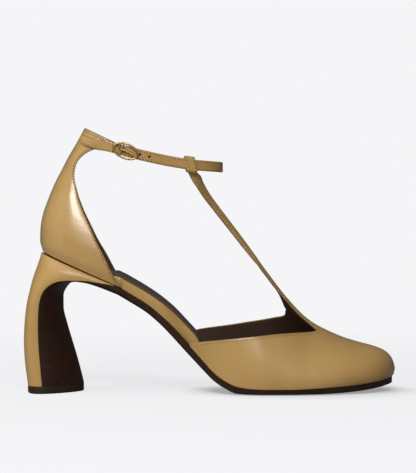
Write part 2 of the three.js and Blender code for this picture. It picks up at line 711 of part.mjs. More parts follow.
// Each row holds its outer wing, strap foot and inner wing. Past a notch they share its edge points.
let last = null;
let strapEnd = null;
for (const x of vampRows) {
  const [footLeft, footRight] = footLines(x);
  const row = {};
  const whole = x >= outerNotch - 1e-9;
  const innerJoined = x >= innerNotch - 1e-9;
  const outerEdge = whole ? footLeft : -acrossAtHeight(x, Z(outerTop(x)));
  const innerEdge = innerJoined ? footRight : acrossAtHeight(x, Z(innerTop(x)));
  row.outer = vampPointRow(x, -1, outerEdge, sideColumns);
  row.inner = vampPointRow(x, innerEdge, 1, sideColumns);
  if (x >= footStart - 1e-9) {
    row.foot = vampPointRow(x, footLeft, footRight, footColumns);
    if (whole) row.foot[0] = row.outer[sideColumns - 1];
    if (innerJoined) row.foot[footColumns - 1] = row.inner[0];
    strapEnd = strapEnd || { x, row: row.foot, from: footLeft, to: footRight };
  }
  if (last) {
    joinRows(last.outer, row.outer);
    joinRows(last.inner, row.inner);
    if (last.foot) joinRows(last.foot, row.foot);
  }
  last = row;
}

// Ankle strap: its middle line runs from the quarter's outer side round the front to its inner side.
const ankleFront = ankleRun[ankleRun.length - 1].at;
const ankleLine = [
  ...ankleRun.map((row) => ({ at: row.at, x: X(row.x), y: -Y(row.y), z: Z(row.z) })),
  ...ankleRun
    .slice(0, -1)
    .reverse()
    .map((row) => ({ at: 2 * ankleFront - row.at, x: X(row.x), y: Y(row.y), z: Z(row.z) })),
];
const ankleX = curve(ankleLine, "at", "x");
const ankleY = curve(ankleLine, "at", "y");
const ankleZ = curve(ankleLine, "at", "z");
const anklePoint = (at) => point(ankleX(at), ankleY(at), ankleZ(at));
function ankleFrame(at) {
  const along = anklePoint(at + 0.02).sub(anklePoint(at - 0.02)).normalize();
  const outward = along.clone().cross(point(0, 0, 1)).normalize();
  const up = outward.clone().cross(along).normalize();
  return { centre: anklePoint(at), along, outward, up };
}

// A flat strap's section with eased corners, as steps outward and up from its middle.
function strapProfile(width, thickness, ease) {
  const w = width / 2;
  const t = thickness / 2;
  return [
    [-t, -w + ease],
    [-t + ease, -w],
    [t - ease, -w],
    [t, -w + ease],
    [t, w - ease],
    [t - ease, w],
    [-t + ease, w],
    [-t, w - ease],
  ];
}
const ankleProfile = strapProfile(strapWidth, strapThickness, 0.45);
const ankleStart = 2.95;
const ankleEnd = 2 * ankleFront;
const ankleStrap = loopSolid(
  range(ankleStart, ankleEnd, 38).map((at) => {
    const { centre, outward, up } = ankleFrame(at);
    return ankleProfile.map(([out, rise]) =>
      centre.clone().addScaledVector(outward, out).addScaledVector(up, rise),
    );
  }),
);

// The T-strap's loop: a flat ring round the ankle strap, on the outer side. It leans as the T-strap does.
const loopAt = 5.965;
const loopLean = 0.3;
const loopGap = 0.35;
const loopFrame = ankleFrame(loopAt);
const loopHigh = strapWidth / 2 + loopGap + loopWall;
const loopDeep = strapThickness / 2 + loopGap + loopWall;
function rectangle(target, halfX, halfY) {
  target.moveTo(-halfX, -halfY);
  target.lineTo(halfX, -halfY);
  target.lineTo(halfX, halfY);
  target.lineTo(-halfX, halfY);
  target.closePath();
  return target;
}
const ringShape = rectangle(new THREE.Shape(), loopDeep, loopHigh);
ringShape.holes.push(rectangle(new THREE.Path(), loopDeep - loopWall, loopHigh - loopWall));
const loopRise = loopFrame.up.clone().addScaledVector(loopFrame.along, -loopLean);
const loopRing = new THREE.ExtrudeGeometry(ringShape, { depth: loopWidth, bevelEnabled: false });
loopRing.translate(0, 0, -loopWidth / 2);
loopRing.applyMatrix4(
  new THREE.Matrix4()
    .makeBasis(loopFrame.outward, loopRise, loopFrame.along.clone().negate())
    .setPosition(loopFrame.centre),
);

// The T-strap above its foot: a strip that turns from facing forwards to facing the outer side, and
// ends in the lower wall of the loop.
const loopFoot = loopFrame.centre.clone().addScaledVector(loopRise, -loopHigh + loopWall / 2);
const strapLine = [
  ...strapRun.map((row) => ({ ...row, x: X(row.x), y: Y(row.y), z: Z(row.z), width: Y(row.width) })),
  { at: 5, x: loopFoot.x, y: loopFoot.y, z: loopFoot.z, turn: 84, width: loopWidth },
];
const strapAt = (of) => curve(strapLine, "at", of);
const strapX = strapAt("x");
const strapY = strapAt("y");
const strapZ = strapAt("z");
const strapTurn = strapAt("turn");
const strapSpan = strapAt("width");
const strapMiddle = (at) => point(strapX(at), strapY(at), strapZ(at));
const footMiddle = vampSurface(strapEnd.x, (strapEnd.from + strapEnd.to) / 2);
const footDrop = footMiddle.sub(strapMiddle(0));

let strapBelow = strapEnd.row;
for (const at of range(0, 5, 19).slice(1)) {
  const centre = strapMiddle(at).addScaledVector(footDrop, 1 - smooth(0, 1.5, at));
  const along = strapMiddle(Math.min(at + 0.02, 5)).sub(strapMiddle(at - 0.02)).normalize();
  const forward = point(along.z, 0, -along.x).normalize();
  const turn = THREE.MathUtils.degToRad(strapTurn(at));
  const facing = forward.multiplyScalar(Math.cos(turn)).add(point(0, -Math.sin(turn), 0)).normalize();
  const acrossStrap = along.clone().cross(facing).normalize();
  acrossStrap.lerp(loopFrame.along, smooth(3.4, 4.8, at)).normalize();
  const crown = 0.25 + 0.9 * (1 - smooth(0, 2, at));
  const sink = (upperWall / 2) * smooth(4, 5, at);
  const row = range(-1, 1, footColumns).map((t) => {
    const place = centre.clone().addScaledVector(acrossStrap, (t * strapSpan(at)) / 2);
    place.addScaledVector(facing, sink - crown * t * t);
    return addVampPoint(place, facing);
  });
  joinRows(row, strapBelow);
  strapBelow = row;
}

// Solids for joining, and back to a geometry.
const wasm = await Module();
wasm.setup();
function solid(geometry) {
  const bare = new THREE.BufferGeometry();
  bare.setAttribute("position", geometry.getAttribute("position"));
  bare.setIndex(geometry.index);
  const merged = mergeVertices(bare);
  const vertProperties = new Float32Array(merged.getAttribute("position").array);
  const triVerts = new Uint32Array(merged.index.array);
  return new wasm.Manifold(new wasm.Mesh({ numProp: 3, vertProperties, triVerts }));
}
function joined(...geometries) {
  const whole = geometries.map(solid).reduce((sum, next) => sum.add(next));
  const mesh = whole.getMesh();
  const geometry = new THREE.BufferGeometry();
  geometry.setAttribute("position", new THREE.BufferAttribute(new Float32Array(mesh.vertProperties), 3));
  geometry.setIndex(new THREE.BufferAttribute(new Uint32Array(mesh.triVerts), 1));
  return geometry;
}
const vamp = joined(wallSolid(vampOuter, vampInner, vampCells), loopRing);

// Buckle tab: it lies on the quarter's outer side, and runs on along the ankle strap to the buckle.
function solve(measure, wanted, low, high) {
  const rising = measure(high) > measure(low);
  for (let i = 0; i < 30; i++) {
    const middle = (low + high) / 2;
    if (measure(middle) < wanted === rising) low = middle;
    else high = middle;
  }
  return (low + high) / 2;
}
function onQuarter(x, z) {
  const rowAt = (t) => solve((row) => quarterSurface(row, t).z, z, 6, lastQuarterRow);
  const t = solve((across) => quarterSurface(rowAt(across), across).x, x, -0.12, -1);
  return { place: quarterSurface(rowAt(t), t), normal: quarterNormal(rowAt(t), t) };
}
const tabBack = X(0.158);
const tabFront = X(0.2665);
const leavesQuarterX = X(0.2);
const meetsStrapX = X(0.226);
const tabGap = 0.85;
const outerHalf = ankleRun.map((row) => ({ x: X(row.x), y: -Y(row.y), z: Z(row.z) }));
const strapSideY = curve(outerHalf, "x", "y");
const strapSideZ = curve(outerHalf, "x", "z");
function tabPoint(x, rise, out) {
  const z = strapSideZ(x) + rise;
  const onStrap = point(x, strapSideY(x) + strapThickness / 2 - out, z);
  const near = onQuarter(Math.min(x, leavesQuarterX), z);
  const slide = Math.max(x - leavesQuarterX, 0);
  const onSide = near.place.clone().addScaledVector(near.normal, tabGap + out);
  onSide.x += slide;
  return onSide.lerp(onStrap, smooth(leavesQuarterX, meetsStrapX, x));
}
const tabRows = [
  ...range(0, 1, 6).map((t) => tabBack + (strapWidth / 2) * (1 - Math.cos((t * Math.PI) / 2))),
  ...range(tabBack + strapWidth / 2, tabFront, 14).slice(1),
];
const buckleTab = loopSolid(
  tabRows.map((x) => {
    const shortfall = Math.max(1 - (x - tabBack + 0.15) / (strapWidth / 2), 0);
    const half = (strapWidth / 2) * Math.sqrt(1 - shortfall ** 2);
    const ease = Math.min(0.35, half / 2);
    return [
      tabPoint(x, -half, 0),
      tabPoint(x, -half, tabThickness - 0.3),
      tabPoint(x, -half + ease, tabThickness),
      tabPoint(x, half - ease, tabThickness),
      tabPoint(x, half, tabThickness - 0.3),
      tabPoint(x, half, 0),
    ];
  }),
);

// Buckle: an oval wire ring with a bar across it, proud of the strap, and a prong that lies inside it.
const buckleX = X(0.2759);
const buckleGap = 0.3;
const buckleCentre = point(
  buckleX,
  strapSideY(buckleX) - strapThickness / 2 - buckleGap - buckleWire / 2,
  strapSideZ(buckleX),
);
const barAt = -2.4;
function ringGeometry(halfLength, halfHeight, radius, steps, sides) {
  const points = [];
  const faces = [];
  for (let i = 0; i < steps; i++) {
    const angle = (2 * Math.PI * i) / steps;
    const outward = point(Math.cos(angle) / halfLength, 0, Math.sin(angle) / halfHeight).normalize();
    for (let j = 0; j < sides; j++) {
      const turn = (2 * Math.PI * j) / sides;
      const centre = point(halfLength * Math.cos(angle), 0, halfHeight * Math.sin(angle));
      centre.addScaledVector(outward, radius * Math.cos(turn));
      points.push(centre.add(point(0, radius * Math.sin(turn), 0)));
      const next = (i + 1) % steps;
      const beside = (j + 1) % sides;
      faces.push(...quadFaces(i * sides + j, i * sides + beside, next * sides + beside, next * sides + j));
    }
  }
  return closedGeometry(points, faces);
}
const ringLength = (buckleLength - buckleWire) / 2;
const ringHeight = (buckleHeight - buckleWire) / 2;
const buckleRing = ringGeometry(ringLength, ringHeight, buckleWire / 2, 28, 6);
const barHeight = 2 * ringHeight * Math.sqrt(1 - (barAt / ringLength) ** 2);
const buckleBar = new THREE.CylinderGeometry(barWidth / 2, barWidth / 2, barHeight, 8);
buckleBar.rotateX(Math.PI / 2);
buckleBar.translate(barAt, 0, 0);
const buckleFrame = joined(buckleRing, buckleBar);
const prongStart = barAt + barWidth / 2 + fitGap;
const prongEnd = ringLength - buckleWire / 2 - fitGap;
const buckleProng = loopSolid(
  range(0, 1, 5).map((t) => {
    const radius = (prongWidth / 2) * (1 - 0.45 * t);
    return range(0, 2 * Math.PI, 9)
      .slice(0, -1)
      .map((angle) => point(mix(prongStart, prongEnd, t), radius * Math.cos(angle), radius * Math.sin(angle)));
  }),
);

const shoe = new THREE.Group();
function addPiece(name, geometry, color, roughness, metalness = 0, parent = shoe) {
  const material = new THREE.MeshStandardMaterial({ color, roughness, metalness });
  const mesh = new THREE.Mesh(geometry, material);
  mesh.name = name;
  parent.add(mesh);
}

const goldLeather = 0xb89660;
const soleLeather = 0x2e201a;
const goldMetal = 0xc7a96b;
addPiece("outsole", outsole, soleLeather, 0.5);
addPiece("heel", heel, goldLeather, 0.3);
addPiece("top_piece", topPiece, soleLeather, 0.6);
addPiece("footbed", footbed, goldLeather, 0.35);
addPiece("insole", insole, 0x5f5650, 0.85);
addPiece("quarter", quarter, goldLeather, 0.3);
addPiece("vamp", vamp, goldLeather, 0.3);
addPiece("ankle_strap", ankleStrap, goldLeather, 0.3);
addPiece("buckle_tab", buckleTab, goldLeather, 0.3);

const buckle = new THREE.Group();
buckle.position.copy(buckleCentre);
buckle.rotation.y = -buckleTilt;
shoe.add(buckle);
addPiece("buckle_frame", buckleFrame, goldMetal, 0.25, 1, buckle);
addPiece("buckle_prong", buckleProng, goldMetal, 0.25, 1, buckle);

// The origin is on the ground, under the middle of the whole shoe.
const whole = new THREE.Box3().setFromObject(shoe);
const middle = whole.getCenter(new THREE.Vector3());
shoe.position.set(-middle.x, -middle.y, 0);

export default shoe;
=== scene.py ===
# %% [markdown]
# # Dressing a T-strap heel
# The CAD model gives every piece of this shoe its place and size. This lesson loads it as a frame, and
# then builds each piece again the way a shoemaker would see it: leather with turned edges and a lining,
# rows of stitches, a covered heel and a small metal buckle. The same design tables that drove the CAD
# drive the fine meshes, so that the two agree to a fraction of a millimetre.

import bisect
import math

import bpy
from mathutils import Matrix, Vector


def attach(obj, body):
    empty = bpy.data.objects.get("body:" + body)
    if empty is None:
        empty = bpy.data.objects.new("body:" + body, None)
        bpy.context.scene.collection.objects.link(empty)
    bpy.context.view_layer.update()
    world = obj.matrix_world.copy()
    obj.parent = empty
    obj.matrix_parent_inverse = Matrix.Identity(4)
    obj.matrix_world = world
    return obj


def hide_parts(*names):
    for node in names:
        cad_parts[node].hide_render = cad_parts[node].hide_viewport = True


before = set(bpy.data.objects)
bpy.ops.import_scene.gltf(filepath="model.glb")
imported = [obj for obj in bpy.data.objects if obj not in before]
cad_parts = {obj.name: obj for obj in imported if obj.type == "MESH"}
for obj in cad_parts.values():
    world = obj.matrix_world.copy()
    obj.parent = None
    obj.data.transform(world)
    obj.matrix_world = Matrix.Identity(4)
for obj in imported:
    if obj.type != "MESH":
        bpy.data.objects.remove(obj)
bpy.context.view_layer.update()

# %% [markdown]
# Sizes are in millimetres, as a shoemaker would write them, and become metres when a mesh is made.
# The CAD puts its origin under the middle of the whole shoe, which moves the last's own middle line
# sideways by a quarter of a millimetre, so the meshes are moved by the same step.

# %% Sizes
MM = 0.001
LENGTH = 224.0
BALL_WIDTH = 78.0
HEEL_HEIGHT = 84.0
UPPER_OVERHANG = 0.9
SEAM_GAP = 0.06
LEATHER = 0.9
LINING = 0.42
TOP_PIECE_HEIGHT = 4.5
FLAP_THICKNESS = 2.2
STRAP_WIDTH = 6.3
STRAP_THICKNESS = 2.2
TAB_THICKNESS = 1.6
BUCKLE_LENGTH = 16.4
BUCKLE_HEIGHT = 9.7
BUCKLE_WIRE = 1.2
BUCKLE_TILT = math.radians(-22)
ORIGIN_STEP = Vector((0.018, 0.274, 0.0))


def X(share):
    return (share - 0.5) * LENGTH


def Z(share):
    return share * HEEL_HEIGHT


def Y(share):
    return share * BALL_WIDTH / 2


print("scale of one share", X(1) - X(0), Z(1), Y(1))

# %% [markdown]
# The tables hold x as shares of the length from the heel's back, z as shares of the heel height, and
# widths as shares of half the ball width. SOLE_RUN is the side view of the sole and SOLE_PLAN its plan.
# HEEL_SECTIONS go down the heel, QUARTER_ROWS up the counter, and VAMP_SECTIONS along the last under
# the vamp. The others are edges: the toplines, the foot of the T-strap, both straps and the footbed rim.

# %% Design tables
def table(columns, *rows):
    names = columns.split()
    return [dict(zip(names, row)) for row in rows]


SOLE_RUN = table(
    "x seat tread",
    (0.2536, 0.762, 0.6964),
    (0.2884, 0.705, 0.641),
    (0.329, 0.638, 0.572),
    (0.3696, 0.55, 0.479),
    (0.4022, 0.465, 0.388),
    (0.4429, 0.347, 0.269),
    (0.4826, 0.229, 0.1575),
    (0.5094, 0.153, 0.087),
    (0.5366, 0.0988, 0.04),
    (0.5705, 0.0583, 0.0035),
    (0.6031, 0.0452, 0),
    (0.6567, 0.0405, 0),
    (0.7192, 0.0405, 0),
    (0.7772, 0.0452, 0),
    (0.8353, 0.0524, 0.004),
    (0.8978, 0.0643, 0.015),
    (0.9603, 0.0833, 0.037),
    (0.9924, 0.1036, 0.056),
)
SOLE_PLAN = table(
    "x outer inner",
    (0.0473, 0, 0),
    (0.0629, 0.326, 0.326),
    (0.0942, 0.508, 0.508),
    (0.1388, 0.626, 0.626),
    (0.1835, 0.674, 0.674),
    (0.2281, 0.672, 0.667),
    (0.2906, 0.621, 0.6),
    (0.3621, 0.585, 0.533),
    (0.4424, 0.615, 0.518),
    (0.5183, 0.749, 0.615),
    (0.5853, 0.877, 0.779),
    (0.6478, 0.944, 0.892),
    (0.7103, 0.931, 0.933),
    (0.7728, 0.874, 0.928),
    (0.8353, 0.774, 0.888),
    (0.8978, 0.615, 0.8),
    (0.9424, 0.426, 0.674),
    (0.9737, 0.205, 0.49),
    (0.9888, 0.02, 0.3),
    (0.9924, -0.128, 0.128),
)
HEEL_SECTIONS = table(
    "keelX keelZ edgeX edgeZ backX backZ half breast cover",
    (0.2536, 0.6964, 0.2513, 0.7595, 0.0473, 0.9976, 0.646, 5, 2.6),
    (0.2281, 0.7226, 0.2268, 0.7762, 0.046, 0.9881, 0.667, 3.6, 2.6),
    (0.1991, 0.7512, 0.1946, 0.7905, 0.0442, 0.9714, 0.674, 2.6, 2.6),
    (0.1723, 0.7738, 0.1612, 0.8012, 0.0415, 0.9476, 0.672, 2.1, 2.6),
    (0.1478, 0.7857, 0.1299, 0.8024, 0.0375, 0.9155, 0.662, 1.8, 2.6),
    (0.1299, 0.781, 0.1009, 0.7964, 0.0321, 0.875, 0.649, 1.6, 2.6),
    (0.1142, 0.744, 0.0763, 0.7714, 0.025, 0.8214, 0.638, 1.5, 2.7),
    (0.1056, 0.6845, 0.0558, 0.7167, 0.017, 0.7381, 0.628, 1.4, 2.8),
    (0.1057, 0.6012, 0.0451, 0.6131, 0.008, 0.631, 0.615, 1.4, 3),
    (0.1161, 0.4821, 0.0429, 0.4821, 0.0018, 0.4881, 0.608, 1.4, 3.1),
    (0.1299, 0.3571, 0.0442, 0.3571, 0, 0.3571, 0.608, 1.4, 3.2),
    (0.1451, 0.2202, 0.0482, 0.2202, 0.0027, 0.2202, 0.618, 1.4, 3.2),
    (0.1580, 0.0869, 0.0527, 0.0869, 0.0094, 0.0869, 0.636, 1.4, 3.2),
    (0.1603, 0.0571, 0.0536, 0.0571, 0.0107, 0.0571, 0.641, 1.4, 3.2),
)
QUARTER_ROWS = table(
    "backX backZ frontX frontZ half",
    (0.05, 1.0024, 0.2603, 0.756, 0.642),
    (0.0429, 1.0833, 0.2402, 0.8571, 0.682),
    (0.0437, 1.1667, 0.218, 0.9762, 0.667),
    (0.0496, 1.2619, 0.1975, 1.0774, 0.631),
    (0.0607, 1.3512, 0.179, 1.1845, 0.579),
    (0.0741, 1.4405, 0.1596, 1.2976, 0.513),
    (0.0897, 1.5298, 0.1436, 1.4226, 0.436),
    (0.1062, 1.6131, 0.1348, 1.5417, 0.382),
    (0.1187, 1.6786, 0.1397, 1.6214, 0.372),
    (0.1321, 1.7381, 0.1567, 1.6845, 0.39),
    (0.1433, 1.7893, 0.1857, 1.7298, 0.426),
    (0.1531, 1.8381, 0.217, 1.7536, 0.456),
    (0.1634, 1.8869, 0.2415, 1.7845, 0.477),
)
VAMP_SECTIONS = table(
    "seatX ridgeX ridgeZ power",
    (0.4446, 0.4446, 1.6429, 2.2),
    (0.5183, 0.5183, 1.3452, 2),
    (0.5853, 0.5853, 1.1119, 1.7),
    (0.6478, 0.6478, 0.876, 1.55),
    (0.7103, 0.7103, 0.66, 1.52),
    (0.7585, 0.7585, 0.527, 1.57),
    (0.7862, 0.7862, 0.475, 1.65),
    (0.8174, 0.8201, 0.4286, 1.75),
    (0.8531, 0.8621, 0.381, 1.9),
    (0.8888, 0.9067, 0.3445, 2),
    (0.9201, 0.9424, 0.3185, 2.1),
    (0.9469, 0.9705, 0.287, 2.15),
    (0.9692, 0.9897, 0.2395, 2.2),
    (0.9826, 0.9975, 0.1905, 2.2),
    (0.9897, 1, 0.1548, 2.2),
    (0.992, 0.996, 0.109, 2.2),
)
OUTER_TOPLINE = table(
    "x z",
    (0.4446, 0.3643),
    (0.5143, 0.3857),
    (0.6067, 0.4135),
    (0.646, 0.4238),
    (0.6817, 0.4315),
    (0.7188, 0.4345),
    (0.7683, 0.436),
    (0.7862, 0.4405),
)
INNER_TOPLINE = table(
    "x z",
    (0.4446, 0.3988),
    (0.4647, 0.4226),
    (0.5045, 0.4385),
    (0.5554, 0.4552),
    (0.6121, 0.4790),
    (0.6527, 0.4980),
    (0.6763, 0.512),
    (0.6978, 0.5245),
    (0.7045, 0.535),
    (0.708, 0.569),
)
STRAP_FOOT = table(
    "x outer inner",
    (0.6299, 0.155, 0.095),
    (0.6701, 0.155, 0.125),
    (0.6871, 0.152, 0.18),
    (0.696, 0.15, 0.244),
    (0.708, 0.15, 0.333),
    (0.7326, 0.158, 0.323),
    (0.7683, 0.179, 0.303),
    (0.7862, 0.231, 0.295),
)
STRAP_RUN = table(
    "at x y z turn width",
    (0, 0.6275, -0.03, 0.9485, 8, 0.25),
    (1, 0.5742, -0.04, 1.1286, 23, 0.2),
    (2, 0.5225, -0.085, 1.3024, 31, 0.178),
    (3, 0.4885, -0.19, 1.4238, 44, 0.168),
    (4, 0.4668, -0.318, 1.5179, 60, 0.166),
)
RIM_TOP = table(
    "x z",
    (0.2536, 0.838),
    (0.2884, 0.7875),
    (0.3496, 0.689),
    (0.4022, 0.579),
    (0.4429, 0.467),
    (0.4799, 0.36),
)
ANKLE_RUN = table(
    "at x y z",
    (-1, 0.155, 0.43, 1.8034),
    (0, 0.1924, 0.482, 1.7774),
    (1, 0.2125, 0.495, 1.7643),
    (2, 0.2415, 0.513, 1.7440),
    (3, 0.2728, 0.518, 1.7214),
    (4, 0.3147, 0.503, 1.6928),
    (5, 0.3951, 0.441, 1.6464),
    (6, 0.4491, 0.395, 1.6238),
    (7, 0.4781, 0.359, 1.6166),
    (8, 0.5049, 0.279, 1.6107),
    (9, 0.5227, 0.154, 1.6071),
    (10, 0.5297, 0, 1.6047),
)
print("sole rows", len(SOLE_RUN), "heel rows", len(HEEL_SECTIONS), "quarter rows", len(QUARTER_ROWS))

# %% [markdown]
# A table's column becomes a smooth function with a monotone cubic: it passes through every row and never
# overshoots between them, so a fair line stays fair. Outlines with round ends are read by angle instead
# of by x, which keeps the end round.

# %% Smooth lines through the tables
def curve(rows, by, of):
    at = [row[by] for row in rows]
    value = [row[of] for row in rows]
    last = len(at) - 1
    slope = [(value[i + 1] - value[i]) / (at[i + 1] - at[i]) for i in range(last)]
    tangent = [slope[0]]
    for before, after in zip(slope, slope[1:]):
        product = before * after
        tangent.append(0.0 if product <= 0 else 2 * product / (before + after))
    tangent.append(slope[-1])

    def read(place):
        inside = min(max(place, at[0]), at[last])
        i = min(max(bisect.bisect_left(at, inside) - 1, 0), last - 1)
        step = at[i + 1] - at[i]
        t = (inside - at[i]) / step
        rise = value[i + 1] - value[i]
        bend = step * (tangent[i] + tangent[i + 1]) - 2 * rise
        return value[i] + t * (step * tangent[i] + t * (rise - step * tangent[i] - bend + t * bend))

    return read


def round_ended_curve(rows, by, of):
    first = rows[0][by]
    span = rows[-1][by] - first

    def angle(place):
        return math.acos(1 - 2 * min(max((place - first) / span, 0.0), 1.0))

    read = curve([{"angle": angle(row[by]), "value": row[of]} for row in rows], "angle", "value")
    return lambda place: read(angle(place))


def numbered(rows, of):
    return curve([dict(row, at=i) for i, row in enumerate(rows)], "at", of)


def spread(start, end, count):
    return [start + (end - start) * i / (count - 1) for i in range(count)]


def mix(a, b, t):
    return a + (b - a) * t


def smooth(start, end, value):
    t = min(max((value - start) / (end - start), 0.0), 1.0)
    return t * t * (3 - 2 * t)


def solve(measure, wanted, low, high):
    rising = measure(high) > measure(low)
    for _ in range(26):
        middle = (low + high) / 2
        if (measure(middle) < wanted) == rising:
            low = middle
        else:
            high = middle
    return (low + high) / 2


sole_top = curve(SOLE_RUN, "x", "seat")
sole_tread = curve(SOLE_RUN, "x", "tread")
plan_outer = round_ended_curve(SOLE_PLAN, "x", "outer")
plan_inner = round_ended_curve(SOLE_PLAN, "x", "inner")
HEEL_START = SOLE_RUN[0]["x"]
SOLE_END = SOLE_RUN[-1]["x"]
SOLE_BACK = SOLE_PLAN[0]["x"]
QUARTER_FRONT = QUARTER_ROWS[0]["frontX"]


def feather_z(x):
    """The height of the line where the upper meets the sole, straight on under the heel seat."""
    if x >= HEEL_START:
        return Z(sole_top(x))
    seat = QUARTER_ROWS[0]
    share = (x - seat["backX"]) / (HEEL_START - seat["backX"])
    return Z(mix(seat["backZ"], sole_top(HEEL_START), share))


print("feather line at the heel, waist and ball", [round(feather_z(x), 1) for x in (0.05, 0.4, 0.65)])

# %% [markdown]
# Most of the shoe is made of arches: a superellipse from one edge point to another over a crown, whose
# power makes it lean or full. Close to the crown the curve is eased, so that a lean arch has no crease
# along its ridge.

# %% Arches
CROWN_EASE = 0.3


def eased(value, power):
    soft = CROWN_EASE * CROWN_EASE
    return value * ((value * value + soft) / (1 + soft)) ** ((2 / power - 1) / 2)


def arch(left, right, crown, power):
    middle = (left + right) / 2
    half = right - middle
    rise = crown - middle

    def place(t):
        angle = t * math.pi / 2
        return middle + half * eased(math.sin(angle), power) + rise * abs(math.cos(angle)) ** (2 / power)

    return place


def squared_off(value, squareness):
    """A sine or cosine pushed outwards, which turns an ellipse into a superellipse."""
    return math.copysign(abs(value) ** (2 / squareness), value)


def across_at_rise(rise, power):
    """Where across an arch it stands at a share of its crown's rise."""
    return 2 / math.pi * math.acos(min(max(rise, 0.0), 1.0) ** (power / 2))


def normal_of(surface, u, v, inside, step=1e-3):
    du = surface(u + step, v) - surface(u - step, v)
    dv = surface(u, v + step) - surface(u, v - step)
    normal = du.cross(dv).normalized()
    return -normal if normal.dot(surface(u, v) - inside) < 0 else normal


test_arch = arch(Vector((-1, 0, 0)), Vector((1, 0, 0)), Vector((0, 0, 1)), 1.6)
print("an arch of power 1.6 stands at", round(test_arch(0.5).z, 3))

# %% [markdown]
# Three makers turn points into meshes. A loop solid runs closed loops along a piece, like a sole or a
# strap, and closes both ends. A leather shell takes an open sheet, gives it a thickness, and rolls its
# free edges over in a half round, as a turned edge is on a real upper. It also writes an attribute named
# edge, which is 1 on the roll and 0 inside, so that a finish can darken there: partly edge paint and
# partly painted shade along the edge.

# %% Mesh makers
def finished_piece(name, points, faces, values=None, crease=40.0):
    mesh = bpy.data.meshes.new(name)
    mesh.from_pydata([(p + ORIGIN_STEP) * MM for p in points], [], faces)
    mesh.validate()
    mesh.shade_smooth()
    mesh.set_sharp_from_angle(angle=math.radians(crease))
    for attribute, numbers in (values or {}).items():
        mesh.attributes.new(attribute, "FLOAT", "POINT").data.foreach_set("value", numbers)
    piece = bpy.data.objects.new(name, mesh)
    bpy.context.scene.collection.objects.link(piece)
    return piece


def turned_out(points, faces):
    volume = 0.0
    for face in faces:
        a = points[face[0]]
        for i in range(1, len(face) - 1):
            volume += a.dot(points[face[i]].cross(points[face[i + 1]]))
    return [tuple(reversed(face)) for face in faces] if volume < 0 else faces


def loop_faces(loops):
    count = len(loops[0])
    faces = []
    for row in range(len(loops) - 1):
        for i in range(count):
            after = (i + 1) % count
            faces.append((row * count + i, row * count + after,
                          (row + 1) * count + after, (row + 1) * count + i))
    for start in (0, (len(loops) - 1) * count):
        ladder = [(start, start + count - 1, start + 1)]
        for i in range(1, count // 2):
            rung = (start + i, start + count - i, start + count - i - 1, start + i + 1)
            ladder.append(rung if rung[2] != rung[3] else rung[:3])
        faces += [tuple(reversed(face)) for face in ladder] if start else ladder
    return faces


def joined(shells):
    """Several closed shells, each a pair of points and faces, as one list of each."""
    points, faces = [], []
    for shell_points, shell_faces in shells:
        outward = turned_out(shell_points, shell_faces)
        faces += [tuple(i + len(points) for i in face) for face in outward]
        points += shell_points
    return points, faces


def loop_solid(name, loops, values=None, crease=40.0):
    points = [p for loop in loops for p in loop]
    return finished_piece(name, points, turned_out(points, loop_faces(loops)), values, crease)


def lens_loop(outer_arch, inner_arch, places):
    return [outer_arch(t) for t in places] + [inner_arch(t) for t in reversed(places[1:-1])]


def grid_cells(rows, columns):
    cells = []
    for row in range(rows - 1):
        for column in range(columns - 1):
            at = row * columns + column
            cells.append((at, at + 1, at + columns + 1, at + columns))
    return cells


ROLL_STEPS = 4


def leather_shell(name, points, cells, thickness, inside, depth=0.0, pull=0.0, darkened_at=None):
    """A shell under an open sheet. depth sets its outer side below the sheet, pull draws its edge back,
    and the last argument says where along the rim the darker edge, partly edge paint and partly painted
    shade, is shown."""
    used = sorted({i for cell in cells for i in cell})
    place_of = {old: new for new, old in enumerate(used)}
    points = [points[i] for i in used]
    cells = [tuple(place_of[i] for i in cell) for cell in cells]
    a, b, c, _ = cells[len(cells) // 2]
    facing = (points[b] - points[a]).cross(points[c] - points[a])
    if facing.dot(points[a] - inside) < 0:
        cells = [tuple(reversed(cell)) for cell in cells]
    normals = [Vector() for _ in points]
    edges = set()
    for cell in cells:
        a, b, c, d = cell
        normal = (points[c] - points[a]).cross(points[d] - points[b])
        for i in range(4):
            normals[cell[i]] += normal
            edges.add((cell[i], cell[(i + 1) % 4]))
    normals = [normal.normalized() for normal in normals]
    rim = {a: b for a, b in edges if (b, a) not in edges}
    before = {b: a for a, b in rim.items()}
    roll = thickness * 0.45
    outer = [p - n * depth for p, n in zip(points, normals)]
    inner = [p - n * (depth + thickness) for p, n in zip(points, normals)]
    sides = {}
    for at, after in rim.items():
        along = (points[after] - points[before[at]]).normalized()
        side = along.cross(normals[at]).normalized()
        sides[at] = side
        outer[at] -= side * (roll + pull)
        inner[at] -= side * (roll + pull)
    made = outer + inner
    # The darker rim: partly edge paint, partly painted shade along the edge.
    shown = {at: 1.0 if darkened_at is None or darkened_at(points[at]) else 0.0 for at in rim}
    edge = [shown.get(i, 0.0) for i in range(len(points))] * 2
    faces = list(cells) + [tuple(i + len(points) for i in reversed(cell)) for cell in cells]
    layers = {at: [at] for at in rim}
    for at in rim:
        middle = (outer[at] + inner[at]) / 2
        for step in range(1, ROLL_STEPS):
            angle = math.pi * (0.5 - step / ROLL_STEPS)
            layers[at].append(len(made))
            made.append(middle + normals[at] * (thickness / 2 * math.sin(angle))
                        + sides[at] * (roll * math.cos(angle)))
            edge.append(shown[at])
        layers[at].append(at + len(points))
    for at, after in rim.items():
        for step in range(ROLL_STEPS):
            faces.append((layers[after][step], layers[at][step],
                          layers[at][step + 1], layers[after][step + 1]))
    return finished_piece(name, made, faces, {"edge": edge})


print("rolled edges have", ROLL_STEPS, "steps")

# %% [markdown]
# The outsole is one thin dark leather piece: forepart and waist, then a flap that runs down the front of
# the heel. Each section is two arches between the same edges. The lower one is flat where it treads and
# turns up to a square edge, and a fine groove is cut along that edge, as a sole is finished by hand.

